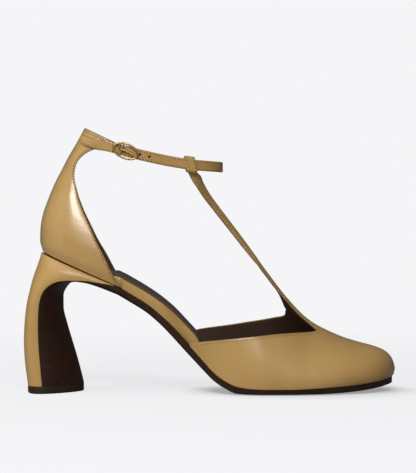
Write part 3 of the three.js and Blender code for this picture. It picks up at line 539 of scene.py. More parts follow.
# %% Heel lines and the outsole
keel_x = numbered(HEEL_SECTIONS, "keelX")
keel_z = numbered(HEEL_SECTIONS, "keelZ")
edge_x = numbered(HEEL_SECTIONS, "edgeX")
edge_z = numbered(HEEL_SECTIONS, "edgeZ")
back_x = numbered(HEEL_SECTIONS, "backX")
back_z = numbered(HEEL_SECTIONS, "backZ")
heel_half = numbered(HEEL_SECTIONS, "half")
breast_power = numbered(HEEL_SECTIONS, "breast")
cover_power = numbered(HEEL_SECTIONS, "cover")
LAST_HEEL_ROW = len(HEEL_SECTIONS) - 1
HEEL_FOOT = TOP_PIECE_HEIGHT + SEAM_GAP
WAIST_THICKNESS = Z(SOLE_RUN[0]["seat"] - SOLE_RUN[0]["tread"])
SETTLED_SHARE = 0.4


def heel_z(share):
    settle = HEEL_FOOT - Z(HEEL_SECTIONS[-1]["keelZ"])
    return Z(share) + settle * max(0.0, 1 - share / SETTLED_SHARE)


def into_heel(run_x, run_z, at, distance):
    """A point of a side-view line of the heel, moved up or back into the heel by a distance."""
    before = max(at - 0.05, 0.0)
    after = min(at + 0.05, LAST_HEEL_ROW)
    along = Vector((X(run_x(after)) - X(run_x(before)), 0, heel_z(run_z(after)) - heel_z(run_z(before))))
    square = Vector((along.z, 0, -along.x)).normalized()
    inward = Vector((0, 0, 1)).lerp(square, smooth(0, 2, at)).normalized()
    moved = Vector((X(run_x(at)), 0, heel_z(run_z(at)))) + inward * distance
    moved.z = max(moved.z, HEEL_FOOT)
    return moved


GROOVE_AT = 0.42
GROOVE_WIDTH = 0.085
GROOVE_DEPTH = 0.32
SOLE_RISES = (0, 0.1, 0.2, 0.27, 0.32, 0.36, 0.4, 0.44, 0.48, 0.52, 0.57, 0.64, 0.72, 0.8,
              0.86, 0.91, 0.95, 0.98, 1)


def sole_places(power):
    half = [across_at_rise(rise, power) for rise in SOLE_RISES]
    return [-t for t in half] + [t for t in reversed(half[:-1])]


def grooved(place, middle, rise, depth):
    cut = depth * math.exp(-(((rise - GROOVE_AT) / GROOVE_WIDTH) ** 2))
    away = Vector((place.x - middle.x, place.y - middle.y, 0))
    return place - away.normalized() * cut if away.length > 1 else place


def sole_section(x):
    left = Vector((X(x), -Y(plan_outer(x)), feather_z(x)))
    right = Vector((X(x), Y(plan_inner(x)), feather_z(x)))
    middle = (left + right) / 2
    ground = Z(sole_tread(x))
    crown = Vector((middle.x, middle.y, ground - 0.35 * smooth(0.5, 0.6, x)))
    lower = arch(left, right, crown, 5)
    depth = GROOVE_DEPTH * smooth(HEEL_START, HEEL_START + 0.08, x) * smooth(SOLE_END, SOLE_END - 0.01, x)

    def under(t):
        made = lower(t)
        rise = (left.z - made.z) / (left.z - crown.z)
        made.z = max(made.z, ground)
        return grooved(made, middle, rise, depth)

    return lens_loop(under, arch(left, right, middle, 5), sole_places(5))


def flap_section(at):
    half = Y(heel_half(at))
    left = Vector((X(edge_x(at)), -half, heel_z(edge_z(at))))
    right = Vector((left.x, half, left.z))
    keel = Vector((X(keel_x(at)), 0, heel_z(keel_z(at))))
    thickness = mix(WAIST_THICKNESS, FLAP_THICKNESS, smooth(0, 3, at))
    power = breast_power(at)
    inner = into_heel(keel_x, keel_z, at, thickness)
    return lens_loop(arch(left, right, keel, power), arch(left, right, inner, power), sole_places(power))


toe_rows = [SOLE_END - 0.0004 - 0.16 * (1 - math.cos(t * math.pi / 2)) for t in spread(0, 1, 46)]
waist_rows = spread(toe_rows[-1], HEEL_START + 0.002, 90)[1:]
sole_loops = [sole_section(x) for x in toe_rows + waist_rows]
sole_loops += [flap_section(at) for at in spread(0, LAST_HEEL_ROW, 100)]
outsole = loop_solid("outsole_leather", sole_loops, crease=50)
print("outsole faces", len(outsole.data.polygons))

# %% [markdown]
# The heel block is covered in the upper's leather. Its sections sweep from the seat, curve out over the
# back and settle level on the top piece. The wear tip below it is a plain rubber slab with eased edges.

# %% Heel cover and top piece
COVER_PLACES = spread(-1, 1, 65)
COVER_INSET = 0.22
HEEL_TIP = 0.3


def heel_section(at):
    half = Y(heel_half(at)) - COVER_INSET
    edge = into_heel(edge_x, edge_z, at, COVER_INSET)
    left = Vector((edge.x, -half, edge.z))
    right = Vector((edge.x, half, edge.z))
    thickness = mix(WAIST_THICKNESS, FLAP_THICKNESS, smooth(0, 3, at))
    keel = into_heel(keel_x, keel_z, at, thickness + COVER_INSET)
    back = Vector((X(back_x(at)), 0, heel_z(back_z(at))))
    return lens_loop(arch(left, right, keel, breast_power(at)), arch(left, right, back, cover_power(at)),
                     COVER_PLACES)


heel = loop_solid("heel_cover", [heel_section(at) for at in spread(HEEL_TIP, LAST_HEEL_ROW, 110)])

TIP_STEPS = ((0, 0.75), (0.12, 0.4), (0.35, 0.15), (0.7, 0.05), (4.1, 0.05), (4.35, 0.12), (4.5, 0.3))


def tip_loop(z, inset):
    edge = X(edge_x(LAST_HEEL_ROW))
    half = Y(heel_half(LAST_HEEL_ROW)) - inset
    left = Vector((edge, -half, z))
    right = Vector((edge, half, z))
    keel = Vector((X(keel_x(LAST_HEEL_ROW)) - inset, 0, z))
    back = Vector((X(back_x(LAST_HEEL_ROW)) + inset, 0, z))
    return lens_loop(arch(left, right, keel, 1.4), arch(left, right, back, 3.2), COVER_PLACES)


top_piece = loop_solid("heel_tip", [tip_loop(z, inset) for z, inset in TIP_STEPS])
print("heel faces", len(heel.data.polygons), "tip faces", len(top_piece.data.polygons))

# %% [markdown]
# The footbed is a stiff board wrapped in the upper's leather. Inside the toe and the heel it hides under
# the lining, and in the open waist its rolled edge comes out over the sole as a gold band. The sock that
# lies on it is thin matte leather, cut a little smaller.

# %% Footbed and sock
BOARD_INSET = 3.6
OPEN_INSET = 0.2
BOARD_ROUND = 1.3
BOARD_INSIDE = 2.6
BOARD_LIFT = 0.7
SOCK_THICKNESS = 1.3
SOCK_INSET = 1.5
SOCK_ROUND = 0.7
SOCK_CROWN = 0.25
ROUND_STEPS = 8
OPEN_EASE = 0.006
CLOSE_EASE = 0.07
VAMP_BACK = VAMP_SECTIONS[0]["seatX"]
BOARD_BACK = SOLE_BACK + 0.012
BOARD_FRONT = SOLE_END - 0.014
rim_height = curve(RIM_TOP, "x", "z")


def edge_inset(x):
    leaves_quarter = smooth(QUARTER_FRONT + 0.0015, QUARTER_FRONT + 0.0015 + OPEN_EASE, x)
    enters_vamp = smooth(VAMP_BACK - 0.002 - CLOSE_EASE, VAMP_BACK - 0.002, x)
    return mix(BOARD_INSET, OPEN_INSET, leaves_quarter * (1 - enters_vamp))


def board_top(x):
    inner = feather_z(x) + BOARD_LIFT + BOARD_INSIDE
    shown = smooth(QUARTER_FRONT - 0.1, QUARTER_FRONT - 0.03, x) * (1 - smooth(0.46, 0.5, x))
    return mix(inner, max(Z(rim_height(x)), inner), shown)


def board_edges(x, extra):
    grow = (SOLE_END - SOLE_BACK) / (BOARD_FRONT - BOARD_BACK)
    plan = SOLE_BACK + (x - BOARD_BACK) * grow
    inset = edge_inset(x) + extra
    return -Y(plan_outer(plan)) + inset, Y(plan_inner(plan)) - inset


def cushioned_loop(x, edges, low, top, radius, crown):
    """A flat section whose two edges are half round above and below, with a slightly crowned top."""
    outer_y, inner_y = edges
    radius = min(radius, (top - low) / 2 - 0.01)
    loop = []
    for side, y in ((-1, outer_y), (1, inner_y)):
        arc = []
        for step in range(ROUND_STEPS + 1):
            angle = math.pi * (step / ROUND_STEPS - 0.5)
            lift = top - radius if angle > 0 else low + radius
            arc.append(Vector((X(x), y + side * (radius * math.cos(angle) - radius),
                               lift + radius * math.sin(angle))))
        loop.append(arc)
    left, right = loop
    upper = []
    for t in spread(-1, 1, 17)[1:-1]:
        y = mix(left[-1].y, right[-1].y, (t + 1) / 2)
        upper.append(Vector((X(x), y, top + crown * (1 - t * t))))
    lower = [Vector((X(x), p.y, low)) for p in reversed(upper)]
    return left + upper + list(reversed(right)) + lower


def round_rows(start, end, count):
    return [mix(start, end, (1 - math.cos(angle)) / 2) for angle in spread(0, math.pi, count)]


board_rows = round_rows(BOARD_BACK + 0.002, BOARD_FRONT - 0.002, 200)
board_loops = []
for x in board_rows:
    low = feather_z(x) + SEAM_GAP
    board_loops.append(cushioned_loop(x, board_edges(x, 0), low, board_top(x), BOARD_ROUND, 0))
footbed = loop_solid("footbed_wrap", board_loops)

sock_rows = [x for x in board_rows if BOARD_BACK + 0.012 < x < BOARD_FRONT - 0.014]
sock_loops = []
for x in sock_rows:
    low = board_top(x) + SEAM_GAP
    top = low + SOCK_THICKNESS
    sock_loops.append(cushioned_loop(x, board_edges(x, SOCK_INSET), low, top, SOCK_ROUND, SOCK_CROWN))
sock = loop_solid("insole_sock", sock_loops)
print("footbed faces", len(footbed.data.polygons), "sock faces", len(sock.data.polygons))

# %% [markdown]
# The quarter, or counter, wraps the heel. Its rows are arches round the back, and it draws in to a
# narrow neck and a tab where the ankle strap and the buckle's tab are sewn on. The outer leather and the
# dark lining are two shells under the same sheet.

# %% Quarter and its lining
quarter_back_x = numbered(QUARTER_ROWS, "backX")
quarter_back_z = numbered(QUARTER_ROWS, "backZ")
quarter_front_x = numbered(QUARTER_ROWS, "frontX")
quarter_front_z = numbered(QUARTER_ROWS, "frontZ")
quarter_half = numbered(QUARTER_ROWS, "half")
LAST_QUARTER_ROW = len(QUARTER_ROWS) - 1
OUTER_AHEAD = 0.8
INNER_BEHIND = 0.7


def quarter_surface(row, t):
    half = Y(quarter_half(row))
    lift = SEAM_GAP * (1 - smooth(0, 1, row))
    shift = smooth(0.5, 4, row) * (1 - smooth(9.5, 11.5, row))
    left = Vector((X(quarter_front_x(row)) + OUTER_AHEAD * shift, -half, Z(quarter_front_z(row)) + lift))
    right = Vector((X(quarter_front_x(row)) - INNER_BEHIND * shift, half, left.z))
    back = Vector((X(quarter_back_x(row)), 0, Z(quarter_back_z(row)) + lift))
    return arch(left, right, back, mix(2.6, 2.2, smooth(2, 8, row)))(t)


def quarter_normal(row, t):
    inside = Vector((X(quarter_front_x(row)) + 6, 0, Z(quarter_front_z(row))))
    return normal_of(quarter_surface, min(max(row, 0.002), LAST_QUARTER_ROW - 0.002),
                     min(max(t, -0.995), 0.995), inside)


QUARTER_SIZE = (76, 91)
quarter_points = [quarter_surface(row, t) for row in spread(0, LAST_QUARTER_ROW, QUARTER_SIZE[0])
                  for t in spread(-1, 1, QUARTER_SIZE[1])]
quarter_cells = grid_cells(*QUARTER_SIZE)
heel_inside = Vector((-74, 0, 100))
bottom_rim = {tuple(quarter_points[i]) for i in range(QUARTER_SIZE[1])}
# The quarter's rim is darkened except along its bottom: partly edge paint, partly painted shade.
quarter = leather_shell("quarter_leather", quarter_points, quarter_cells, LEATHER, heel_inside,
                        darkened_at=lambda place: tuple(place) not in bottom_rim)
quarter_lining = leather_shell("quarter_lining", quarter_points, quarter_cells, LINING, heel_inside,
                               depth=LEATHER + 0.02, pull=0.35)
print("quarter faces", len(quarter.data.polygons))

# %% [markdown]
# The vamp is cut in one with the T-strap. It is one sheet over the last, from which the throat and the
# two wings are cut away: each row holds an outer wing, the strap's foot and an inner wing, and past a
# notch they share the points of their edges. Higher up the strip turns from facing forwards to facing
# the outer side, where it ends in the loop.

# %% Vamp sheet and T-strap
ridge_x = curve(VAMP_SECTIONS, "seatX", "ridgeX")
ridge_z = curve(VAMP_SECTIONS, "seatX", "ridgeZ")
vamp_power = curve(VAMP_SECTIONS, "seatX", "power")
VAMP_FRONT = VAMP_SECTIONS[-1]["seatX"]
SIDE_BULGE = 14.0


def vamp_surface(x, t):
    z = feather_z(x) + SEAM_GAP
    left = Vector((X(x), -Y(plan_outer(x)) - UPPER_OVERHANG, z))
    right = Vector((X(x), Y(plan_inner(x)) + UPPER_OVERHANG, z))
    crown = Vector((X(ridge_x(x)), (left.y + right.y) / 2, Z(ridge_z(x))))
    made = arch(left, right, crown, vamp_power(x))(t)
    rise = (made.z - z) / (crown.z - z)
    bulge = SIDE_BULGE * rise * (1 - rise) ** 3 * (1 - smooth(VAMP_FRONT - 0.05, VAMP_FRONT, x))
    made.y += math.copysign(bulge, t)
    return made


def vamp_normal(x, t):
    inside = Vector((X(x) - 6, 0, feather_z(x) + 6))
    return normal_of(vamp_surface, min(max(x, VAMP_BACK + 0.001), VAMP_FRONT - 0.0012),
                     min(max(t, -0.985), 0.985), inside)


def across_at_height(x, height):
    foot = feather_z(x) + SEAM_GAP
    return across_at_rise((height - foot) / (Z(ridge_z(x)) - foot), vamp_power(x))


def across_at_width(x, distance):
    half = (Y(plan_outer(x)) + Y(plan_inner(x))) / 2 + UPPER_OVERHANG
    power = vamp_power(x)
    return solve(lambda t: half * eased(math.sin(t * math.pi / 2), power), distance, 0, 1)


outer_top = curve(OUTER_TOPLINE, "x", "z")
inner_top = curve(INNER_TOPLINE, "x", "z")
foot_outer = curve(STRAP_FOOT, "x", "outer")
foot_inner = curve(STRAP_FOOT, "x", "inner")
OUTER_NOTCH = OUTER_TOPLINE[-1]["x"]
INNER_NOTCH = INNER_TOPLINE[-1]["x"]
FOOT_START = STRAP_FOOT[0]["x"]


def foot_lines(x):
    """The strap foot's two lines, which run on over the toe and spread out evenly."""
    run_on = smooth(OUTER_NOTCH, 0.93, x)
    at = min(x, OUTER_NOTCH)
    return (-mix(across_at_width(at, Y(foot_outer(at))), 0.42, run_on),
            mix(across_at_width(at, Y(foot_inner(at))), 0.42, run_on))


SIDE_COLUMNS = 25
FOOT_COLUMNS = 15
sheet_points = []
sheet_cells = []


def add_row(place_at, start, end, count):
    first = len(sheet_points)
    sheet_points.extend(place_at(t) for t in spread(start, end, count))
    return list(range(first, first + count))


def join_rows(before, after):
    for i in range(len(before) - 1):
        sheet_cells.append((before[i], after[i], after[i + 1], before[i + 1]))


toe_turn = [mix(OUTER_NOTCH, VAMP_FRONT, math.sin(t * math.pi / 2) ** 0.94) for t in spread(0, 1, 62)]
to_notch = [mix(INNER_NOTCH, FOOT_START, (1 - t) ** 1.8) for t in spread(0, 1, 30)]
vamp_rows = (spread(VAMP_BACK, FOOT_START, 46)[:-1] + to_notch[:-1]
             + spread(INNER_NOTCH, OUTER_NOTCH, 22)[:-1] + toe_turn)
last = {}
strap_below = None
for x in vamp_rows:
    foot_left, foot_right = foot_lines(x)
    whole = x >= OUTER_NOTCH - 1e-9
    inner_joined = x >= INNER_NOTCH - 1e-9
    outer_edge = foot_left if whole else -across_at_height(x, Z(outer_top(x)))
    inner_edge = foot_right if inner_joined else across_at_height(x, Z(inner_top(x)))
    row = {"outer": add_row(lambda t: vamp_surface(x, t), -1, outer_edge, SIDE_COLUMNS),
           "inner": add_row(lambda t: vamp_surface(x, t), inner_edge, 1, SIDE_COLUMNS)}
    if x >= FOOT_START - 1e-9:
        row["foot"] = add_row(lambda t: vamp_surface(x, t), foot_left, foot_right, FOOT_COLUMNS)
        if whole:
            row["foot"][0] = row["outer"][-1]
        if inner_joined:
            row["foot"][-1] = row["inner"][0]
        strap_below = strap_below or row["foot"]
    for part in row:
        if part in last:
            join_rows(last[part], row[part])
    last = row
print("vamp sheet cells", len(sheet_cells))

# %% [markdown]
# The ankle strap's middle line runs from the outer side round the front of the ankle to the inner side,
# and the loop of the T-strap sits square on it. Every section of the strap is placed by a small frame of
# three directions: along the strap, outwards and up.

# %% The ankle line and the strip above the vamp
ANKLE_FRONT = ANKLE_RUN[-1]["at"]
ankle_rows = [dict(row, y=-row["y"]) for row in ANKLE_RUN]
ankle_rows += [dict(row, at=2 * ANKLE_FRONT - row["at"]) for row in reversed(ANKLE_RUN[:-1])]
ankle_x = curve(ankle_rows, "at", "x")
ankle_y = curve(ankle_rows, "at", "y")
ankle_z = curve(ankle_rows, "at", "z")


def ankle_point(at):
    return Vector((X(ankle_x(at)), Y(ankle_y(at)), Z(ankle_z(at))))


def ankle_frame(at):
    along = (ankle_point(at + 0.02) - ankle_point(at - 0.02)).normalized()
    outward = along.cross(Vector((0, 0, 1))).normalized()
    return ankle_point(at), along, outward, outward.cross(along).normalized()


LOOP_AT = 5.965
LOOP_LEAN = 0.3
LOOP_WIDTH = 6.6
LOOP_WALL = 1.5
LOOP_GAP = 0.35
loop_high = STRAP_WIDTH / 2 + LOOP_GAP + LOOP_WALL
loop_deep = STRAP_THICKNESS / 2 + LOOP_GAP + LOOP_WALL
loop_centre, loop_along, loop_outward, loop_up = ankle_frame(LOOP_AT)
loop_rise = loop_up - loop_along * LOOP_LEAN
loop_foot = loop_centre - loop_rise * (loop_high - LOOP_WALL / 2)
STRIP_TOP = 5
strip_rows = [dict(row, x=X(row["x"]), y=Y(row["y"]), z=Z(row["z"]), width=Y(row["width"]))
              for row in STRAP_RUN]
strip_rows.append({"at": STRIP_TOP, "x": loop_foot.x, "y": loop_foot.y, "z": loop_foot.z,
                   "turn": 84, "width": LOOP_WIDTH})
strip_lines = {of: curve(strip_rows, "at", of) for of in ("x", "y", "z", "turn", "width")}


def strip_middle(at):
    return Vector([strip_lines[axis](at) for axis in "xyz"])


foot_row = [sheet_points[i] for i in strap_below]
foot_middle = vamp_surface(FOOT_START, sum(foot_lines(FOOT_START)) / 2)
foot_drop = foot_middle - strip_middle(0)
foot_along = (strip_middle(0.02) - strip_middle(-0.02)).normalized()
foot_facing = Vector((foot_along.z, 0, -foot_along.x)).normalized()
FOOT_CROWN = (foot_middle - (foot_row[0] + foot_row[-1]) / 2).dot(foot_facing)
STRIP_CROWN = 0.3


def strip_surface(at, t):
    """A point of the T-strap's face, and the direction that it faces."""
    centre = strip_middle(at) + foot_drop * (1 - smooth(0, 1.5, at))
    along = (strip_middle(min(at + 0.02, STRIP_TOP)) - strip_middle(at - 0.02)).normalized()
    turn = math.radians(strip_lines["turn"](at))
    forward = Vector((along.z, 0, -along.x)).normalized()
    facing = (forward * math.cos(turn) + Vector((0, -math.sin(turn), 0))).normalized()
    across = along.cross(facing).normalized()
    across = across.lerp(loop_along, smooth(3.4, 4.8, at)).normalized()
    crown = mix(FOOT_CROWN, STRIP_CROWN, smooth(0, 2, at))
    sink = 0.7 * smooth(4, STRIP_TOP, at)
    return centre + across * (t * strip_lines["width"](at) / 2) + facing * (sink - crown * t * t), facing


for at in spread(0, STRIP_TOP, 130)[1:]:
    row = add_row(lambda t: strip_surface(at, t)[0], -1, 1, FOOT_COLUMNS)
    join_rows(row, strap_below)
    strap_below = row

toe_inside = Vector((40, 0, 12))
print("crown of the strap's foot", round(FOOT_CROWN, 2), "sheet points", len(sheet_points))

# %% [markdown]
# The sheet becomes two shells, the outer leather and a thin lining that stops a little short of its edge.

# %% Vamp leather and its lining
vamp = leather_shell("vamp_leather", sheet_points, sheet_cells, LEATHER, toe_inside)
vamp_lining = leather_shell("vamp_lining", sheet_points, sheet_cells, LINING, toe_inside,
                            depth=LEATHER + 0.02, pull=0.3)
print("vamp faces", len(vamp.data.polygons), "lining faces", len(vamp_lining.data.polygons))

# %% [markdown]
# A strap is folded leather with soft edges, so its section is a superellipse. It is swept along the ankle
# line and its free end is rounded. Its edges carry the edge value that the finish darkens, partly as edge
# paint and partly as painted shade.

# %% Ankle strap
STRAP_START = 2.84
STRAP_END = 2 * ANKLE_FRONT
END_ROUND = 1.6
SECTION_SQUARENESS = 5
DARK_EDGE_SHARE = 0.93


def rounded_section(half_width, half_thickness, count):
    section = []
    for i in range(count):
        angle = 2 * math.pi * i / count
        section.append((half_thickness * squared_off(math.cos(angle), SECTION_SQUARENESS),
                        half_width * squared_off(math.sin(angle), SECTION_SQUARENESS)))
    return section


def end_scale(distance, radius):
    """How much of a strap's width is left at a distance from its rounded end."""
    return math.sqrt(max(1 - max(1 - distance / radius, 0) ** 2, 0.0004))


strap_places = [STRAP_START + 0.2 * t * t for t in spread(0, 1, 12)]
strap_places += spread(STRAP_START + 0.2, STRAP_END, 240)[1:]
strap_section = rounded_section(STRAP_WIDTH / 2, STRAP_THICKNESS / 2, 28)
strap_tip = ankle_point(STRAP_START)
strap_loops = []
for at in strap_places:
    centre, _, outward, up = ankle_frame(at)
    scale = end_scale((centre - strap_tip).length + 0.02, END_ROUND)
    strap_loops.append([centre + outward * out + up * rise * scale for out, rise in strap_section])
# The strap's darker edges: partly edge paint, partly painted shade along the edges.
strap_edge = [1.0 if abs(rise) > STRAP_WIDTH / 2 * DARK_EDGE_SHARE else 0.0 for _, rise in strap_section]
ankle_strap = loop_solid("ankle_strap_leather", strap_loops, {"edge": strap_edge * len(strap_loops)})
print("ankle strap faces", len(ankle_strap.data.polygons), "from", round(strap_tip.x, 2))

# %% [markdown]
# The T-strap ends in a loop that the ankle strap slides through. It is a band of the same leather,
# closed in a rounded rectangle round the strap, and the strip ends at its lower side.

# %% Loop of the T-strap
BAND_STEPS = 72
BAND_SQUARENESS = 6
band_section = rounded_section(LOOP_WIDTH / 2, LOOP_WALL / 2 - 0.1, 20)


def band_loops(high, deep):
    loops = []
    for i in range(BAND_STEPS):
        angle = 2 * math.pi * i / BAND_STEPS
        side = squared_off(math.cos(angle), BAND_SQUARENESS)
        rise = squared_off(math.sin(angle), BAND_SQUARENESS)
        middle = loop_centre + loop_outward * (deep * side) + loop_rise * (high * rise)
        away = (loop_outward * (abs(side) ** (BAND_SQUARENESS - 1) * math.copysign(1 / deep, side))
                + loop_up * (abs(rise) ** (BAND_SQUARENESS - 1) * math.copysign(1 / high, rise)))
        away.normalize()
        narrow = 1 - 0.1 * max(rise, 0)
        loops.append([middle + away * out + loop_along * along * narrow for out, along in band_section])
    return loops


def ring_faces(loops):
    count = len(loops[0])
    total = len(loops)
    faces = []
    for row in range(total):
        below = (row + 1) % total
        for i in range(count):
            after = (i + 1) % count
            faces.append((row * count + i, row * count + after, below * count + after, below * count + i))
    return faces


def ring_solid(name, loops):
    points = [p for loop in loops for p in loop]
    return finished_piece(name, points, turned_out(points, ring_faces(loops)))


strap_loop = ring_solid("strap_loop", band_loops(loop_high - LOOP_WALL / 2, loop_deep - LOOP_WALL / 2))
print("loop faces", len(strap_loop.data.polygons))

# %% [markdown]
# The buckle's tab lies on the outer side of the quarter and runs on along the ankle strap's line to the
# buckle. It is found on the quarter by solving for the place at a given length and height.

# %% Buckle tab
TAB_BACK = X(0.158)
TAB_FRONT = X(0.2665)
LEAVES_QUARTER = X(0.2)
MEETS_STRAP = X(0.226)
TAB_LIFT = 0.12
outer_rows = [{"x": X(row["x"]), "y": -Y(row["y"]), "z": Z(row["z"])} for row in ANKLE_RUN]
strap_side_y = curve(outer_rows, "x", "y")
strap_side_z = curve(outer_rows, "x", "z")


def on_quarter(x, z):
    def row_at(t):
        return solve(lambda row: quarter_surface(row, t).z, z, 6, LAST_QUARTER_ROW)

    t = solve(lambda across: quarter_surface(row_at(across), across).x, x, -0.12, -1)
    row = row_at(t)
    return quarter_surface(row, t), quarter_normal(row, t)


TAB_RISES = spread(-STRAP_WIDTH / 2, STRAP_WIDTH / 2, 3)


def tab_station(x):
    """Three points down the tab's under side at a length, each with the direction that it faces."""
    station = []
    for rise in TAB_RISES:
        z = strap_side_z(x) + rise
        on_strap = Vector((x, strap_side_y(x) + STRAP_THICKNESS / 2, z))
        blend = smooth(LEAVES_QUARTER, MEETS_STRAP, x)
        place, facing = on_strap, Vector((0, -1, 0))
        if blend < 1:
            near, normal = on_quarter(min(x, LEAVES_QUARTER), z)
            near = near + normal * TAB_LIFT + Vector((max(x - LEAVES_QUARTER, 0), 0, 0))
            place = near.lerp(on_strap, blend)
            facing = normal.lerp(facing, blend).normalized()
        station.append((place, facing))
    return station


def tab_point(station, rise, out):
    share = rise / (STRAP_WIDTH / 2)
    weights = (share * (share - 1) / 2, 1 - share * share, share * (share + 1) / 2)
    place = sum((p * w for (p, _), w in zip(station, weights)), Vector())
    facing = sum((n * w for (_, n), w in zip(station, weights)), Vector()).normalized()
    return place + facing * out


TAB_ROUND = STRAP_WIDTH / 2
tab_xs = [TAB_BACK + TAB_ROUND * (1 - math.cos(t * math.pi / 2)) for t in spread(0, 1, 14)]
tab_xs += spread(TAB_BACK + TAB_ROUND, TAB_FRONT, 34)[1:]
tab_stations = [(x, tab_station(x)) for x in tab_xs]
tab_section = rounded_section(STRAP_WIDTH / 2 - 0.02, TAB_THICKNESS / 2, 28)
tab_loops = []
for x, station in tab_stations:
    scale = end_scale(x - TAB_BACK + 0.02, TAB_ROUND)
    tab_loops.append([tab_point(station, rise * scale, TAB_THICKNESS / 2 + out)
                      for out, rise in tab_section])
# The tab's darker edges: partly edge paint, partly painted shade along the edges.
tab_edge = [1.0 if abs(rise) > STRAP_WIDTH / 2 * DARK_EDGE_SHARE else 0.0 for _, rise in tab_section]
buckle_tab = loop_solid("buckle_tab_leather", tab_loops, {"edge": tab_edge * len(tab_loops)})
print("tab faces", len(buckle_tab.data.polygons), "to", round(TAB_FRONT, 2))

# %% [markdown]
# The buckle is a small oval of gold-coloured wire with a bar across it. The prong is bent round the bar,
# tapers towards its tip and rests on the oval's front end. It keeps its place in the fastened strap.

# %% Buckle and prong
BUCKLE_X = X(0.2759)
BAR_AT = -2.4
BAR_BACK = 0.1
BAR_RADIUS = 0.45
PRONG_RADIUS = 0.55
CURL_RADIUS = 0.95
PRONG_REST = -0.95
PRONG_OVERHANG = 0.35
OVAL_POINTS = 80
OVAL_SIDES = 16
buckle_centre = Vector((BUCKLE_X,
                        strap_side_y(BUCKLE_X) - STRAP_THICKNESS / 2 - 0.3 - BUCKLE_WIRE / 2,
                        strap_side_z(BUCKLE_X)))
buckle_turn = Matrix.Rotation(-BUCKLE_TILT, 3, "Y")


def in_buckle(x, y, z):
    return buckle_centre + buckle_turn @ Vector((x, y, z))


def wire_loops(path, radii, sides, closed=False):
    """Round sections square to a path of local points."""
    loops = []
    count = len(path)
    for i, middle in enumerate(path):
        ahead = path[(i + 1) % count] if closed else path[min(i + 1, count - 1)]
        behind = path[i - 1] if closed else path[max(i - 1, 0)]
        along = (ahead - behind).normalized()
        side = along.cross(Vector((0, 1, 0)))
        side = side.normalized() if side.length > 1e-6 else Vector((0, 0, 1))
        other = along.cross(side)
        turns = [2 * math.pi * j / sides for j in range(sides)]
        loops.append([in_buckle(*(middle + (side * math.cos(a) + other * math.sin(a)) * radii[i]))
                      for a in turns])
    return loops


ring_length = (BUCKLE_LENGTH - BUCKLE_WIRE) / 2
ring_height = (BUCKLE_HEIGHT - BUCKLE_WIRE) / 2
oval = [Vector((ring_length * math.cos(a), 0, ring_height * math.sin(a)))
        for a in (2 * math.pi * i / OVAL_POINTS for i in range(OVAL_POINTS))]
oval_loops = wire_loops(oval, [BUCKLE_WIRE / 2] * OVAL_POINTS, OVAL_SIDES, closed=True)
bar_high = ring_height * math.sqrt(1 - (BAR_AT / ring_length) ** 2)
bar_line = [Vector((BAR_AT, BAR_BACK, z)) for z in spread(-bar_high, bar_high, 4)]
bar = wire_loops(bar_line, [BAR_RADIUS] * len(bar_line), OVAL_SIDES)
frame_shells = [([p for loop in oval_loops for p in loop], ring_faces(oval_loops)),
                ([p for loop in bar for p in loop], loop_faces(bar))]
buckle_frame = finished_piece("buckle_frame_metal", *joined(frame_shells))

curl = [Vector((BAR_AT - CURL_RADIUS * math.cos(a), BAR_BACK + CURL_RADIUS * math.sin(a), 0))
        for a in spread(1.9, -1.2, 16)]
reach = ring_length + PRONG_OVERHANG - curl[-1].x
shaft = [Vector((curl[-1].x + reach * t, mix(curl[-1].y, PRONG_REST, smooth(0, 0.9, t)), 0))
         for t in spread(0, 1, 24)[1:]]
prong_path = curl + shaft
prong_radii = [PRONG_RADIUS * mix(0.85, 1, smooth(0, 8, i)) * mix(1, 0.62, smooth(16, 38, i))
               for i in range(len(prong_path))]
prong_radii[-1] *= 0.45
buckle_prong = loop_solid("buckle_prong_metal", wire_loops(prong_path, prong_radii, 14))
print("buckle at", [round(v, 1) for v in buckle_centre])

# %% [markdown]
# Shader maths reads best as plain sums, so a small class wraps a socket and turns operators into Math
# nodes. A finish starts from one Principled shader whose constant values are set on its own sockets, and
# one method adds any other node, with its settings first and its inputs after.

# %% Shader helpers
class Wire:
    def __init__(self, finish, socket):
        self.finish = finish
        self.socket = socket

    def maths(self, operation, first, second):
        return self.finish.node("ShaderNodeMath", {"operation": operation}, {0: first, 1: second})

    def __add__(self, other):
        return self.maths("ADD", self, other)

    __radd__ = __add__

    def __mul__(self, other):
        return self.maths("MULTIPLY", self, other)

    __rmul__ = __mul__


class Finish:
    def __init__(self, name, colour, roughness, **constants):
        self.material = bpy.data.materials.new(name)
        self.material.use_nodes = True
        self.tree = self.material.node_tree
        self.shader = self.tree.nodes["Principled BSDF"]
        self.set(self.shader, "Base Color", colour)
        self.set(self.shader, "Roughness", roughness)
        for socket, value in constants.items():
            self.set(self.shader, socket.replace("_", " ").title().replace("Ior", "IOR"), value)

    def set(self, node, socket, value):
        target = node.inputs[socket]
        if isinstance(value, Wire):
            self.tree.links.new(value.socket, target)
        else:
            target.default_value = value

    def node(self, kind, settings=None, inputs=None, output=0):
        node = self.tree.nodes.new(kind)
        for name, value in (settings or {}).items():
            setattr(node, name, value)
        for socket, value in (inputs or {}).items():
            self.set(node, socket, value)
        return Wire(self, node.outputs[output])

    def place(self):
        return self.node("ShaderNodeTexCoord", output="Object")

    def noise(self, scale, detail, roughness, place):
        return self.node("ShaderNodeTexNoise", None,
                         {"Vector": place, "Scale": scale, "Detail": detail, "Roughness": roughness})

    def blend(self, factor, first, second):
        return self.node("ShaderNodeMix", {"data_type": "RGBA"}, {0: factor, 6: first, 7: second}, 2)

    def between(self, value, low, high, start=0.0, end=1.0):
        return self.node("ShaderNodeMapRange", None, {0: value, 1: low, 2: high, 3: start, 4: end})

    def attribute(self, name):
        return self.node("ShaderNodeAttribute", {"attribute_name": name}, None, "Fac")

    def bump(self, height, distance):
        normal = self.node("ShaderNodeBump", None, {"Height": height, "Distance": distance, "Strength": 1.0})
        self.set(self.shader, "Normal", normal)


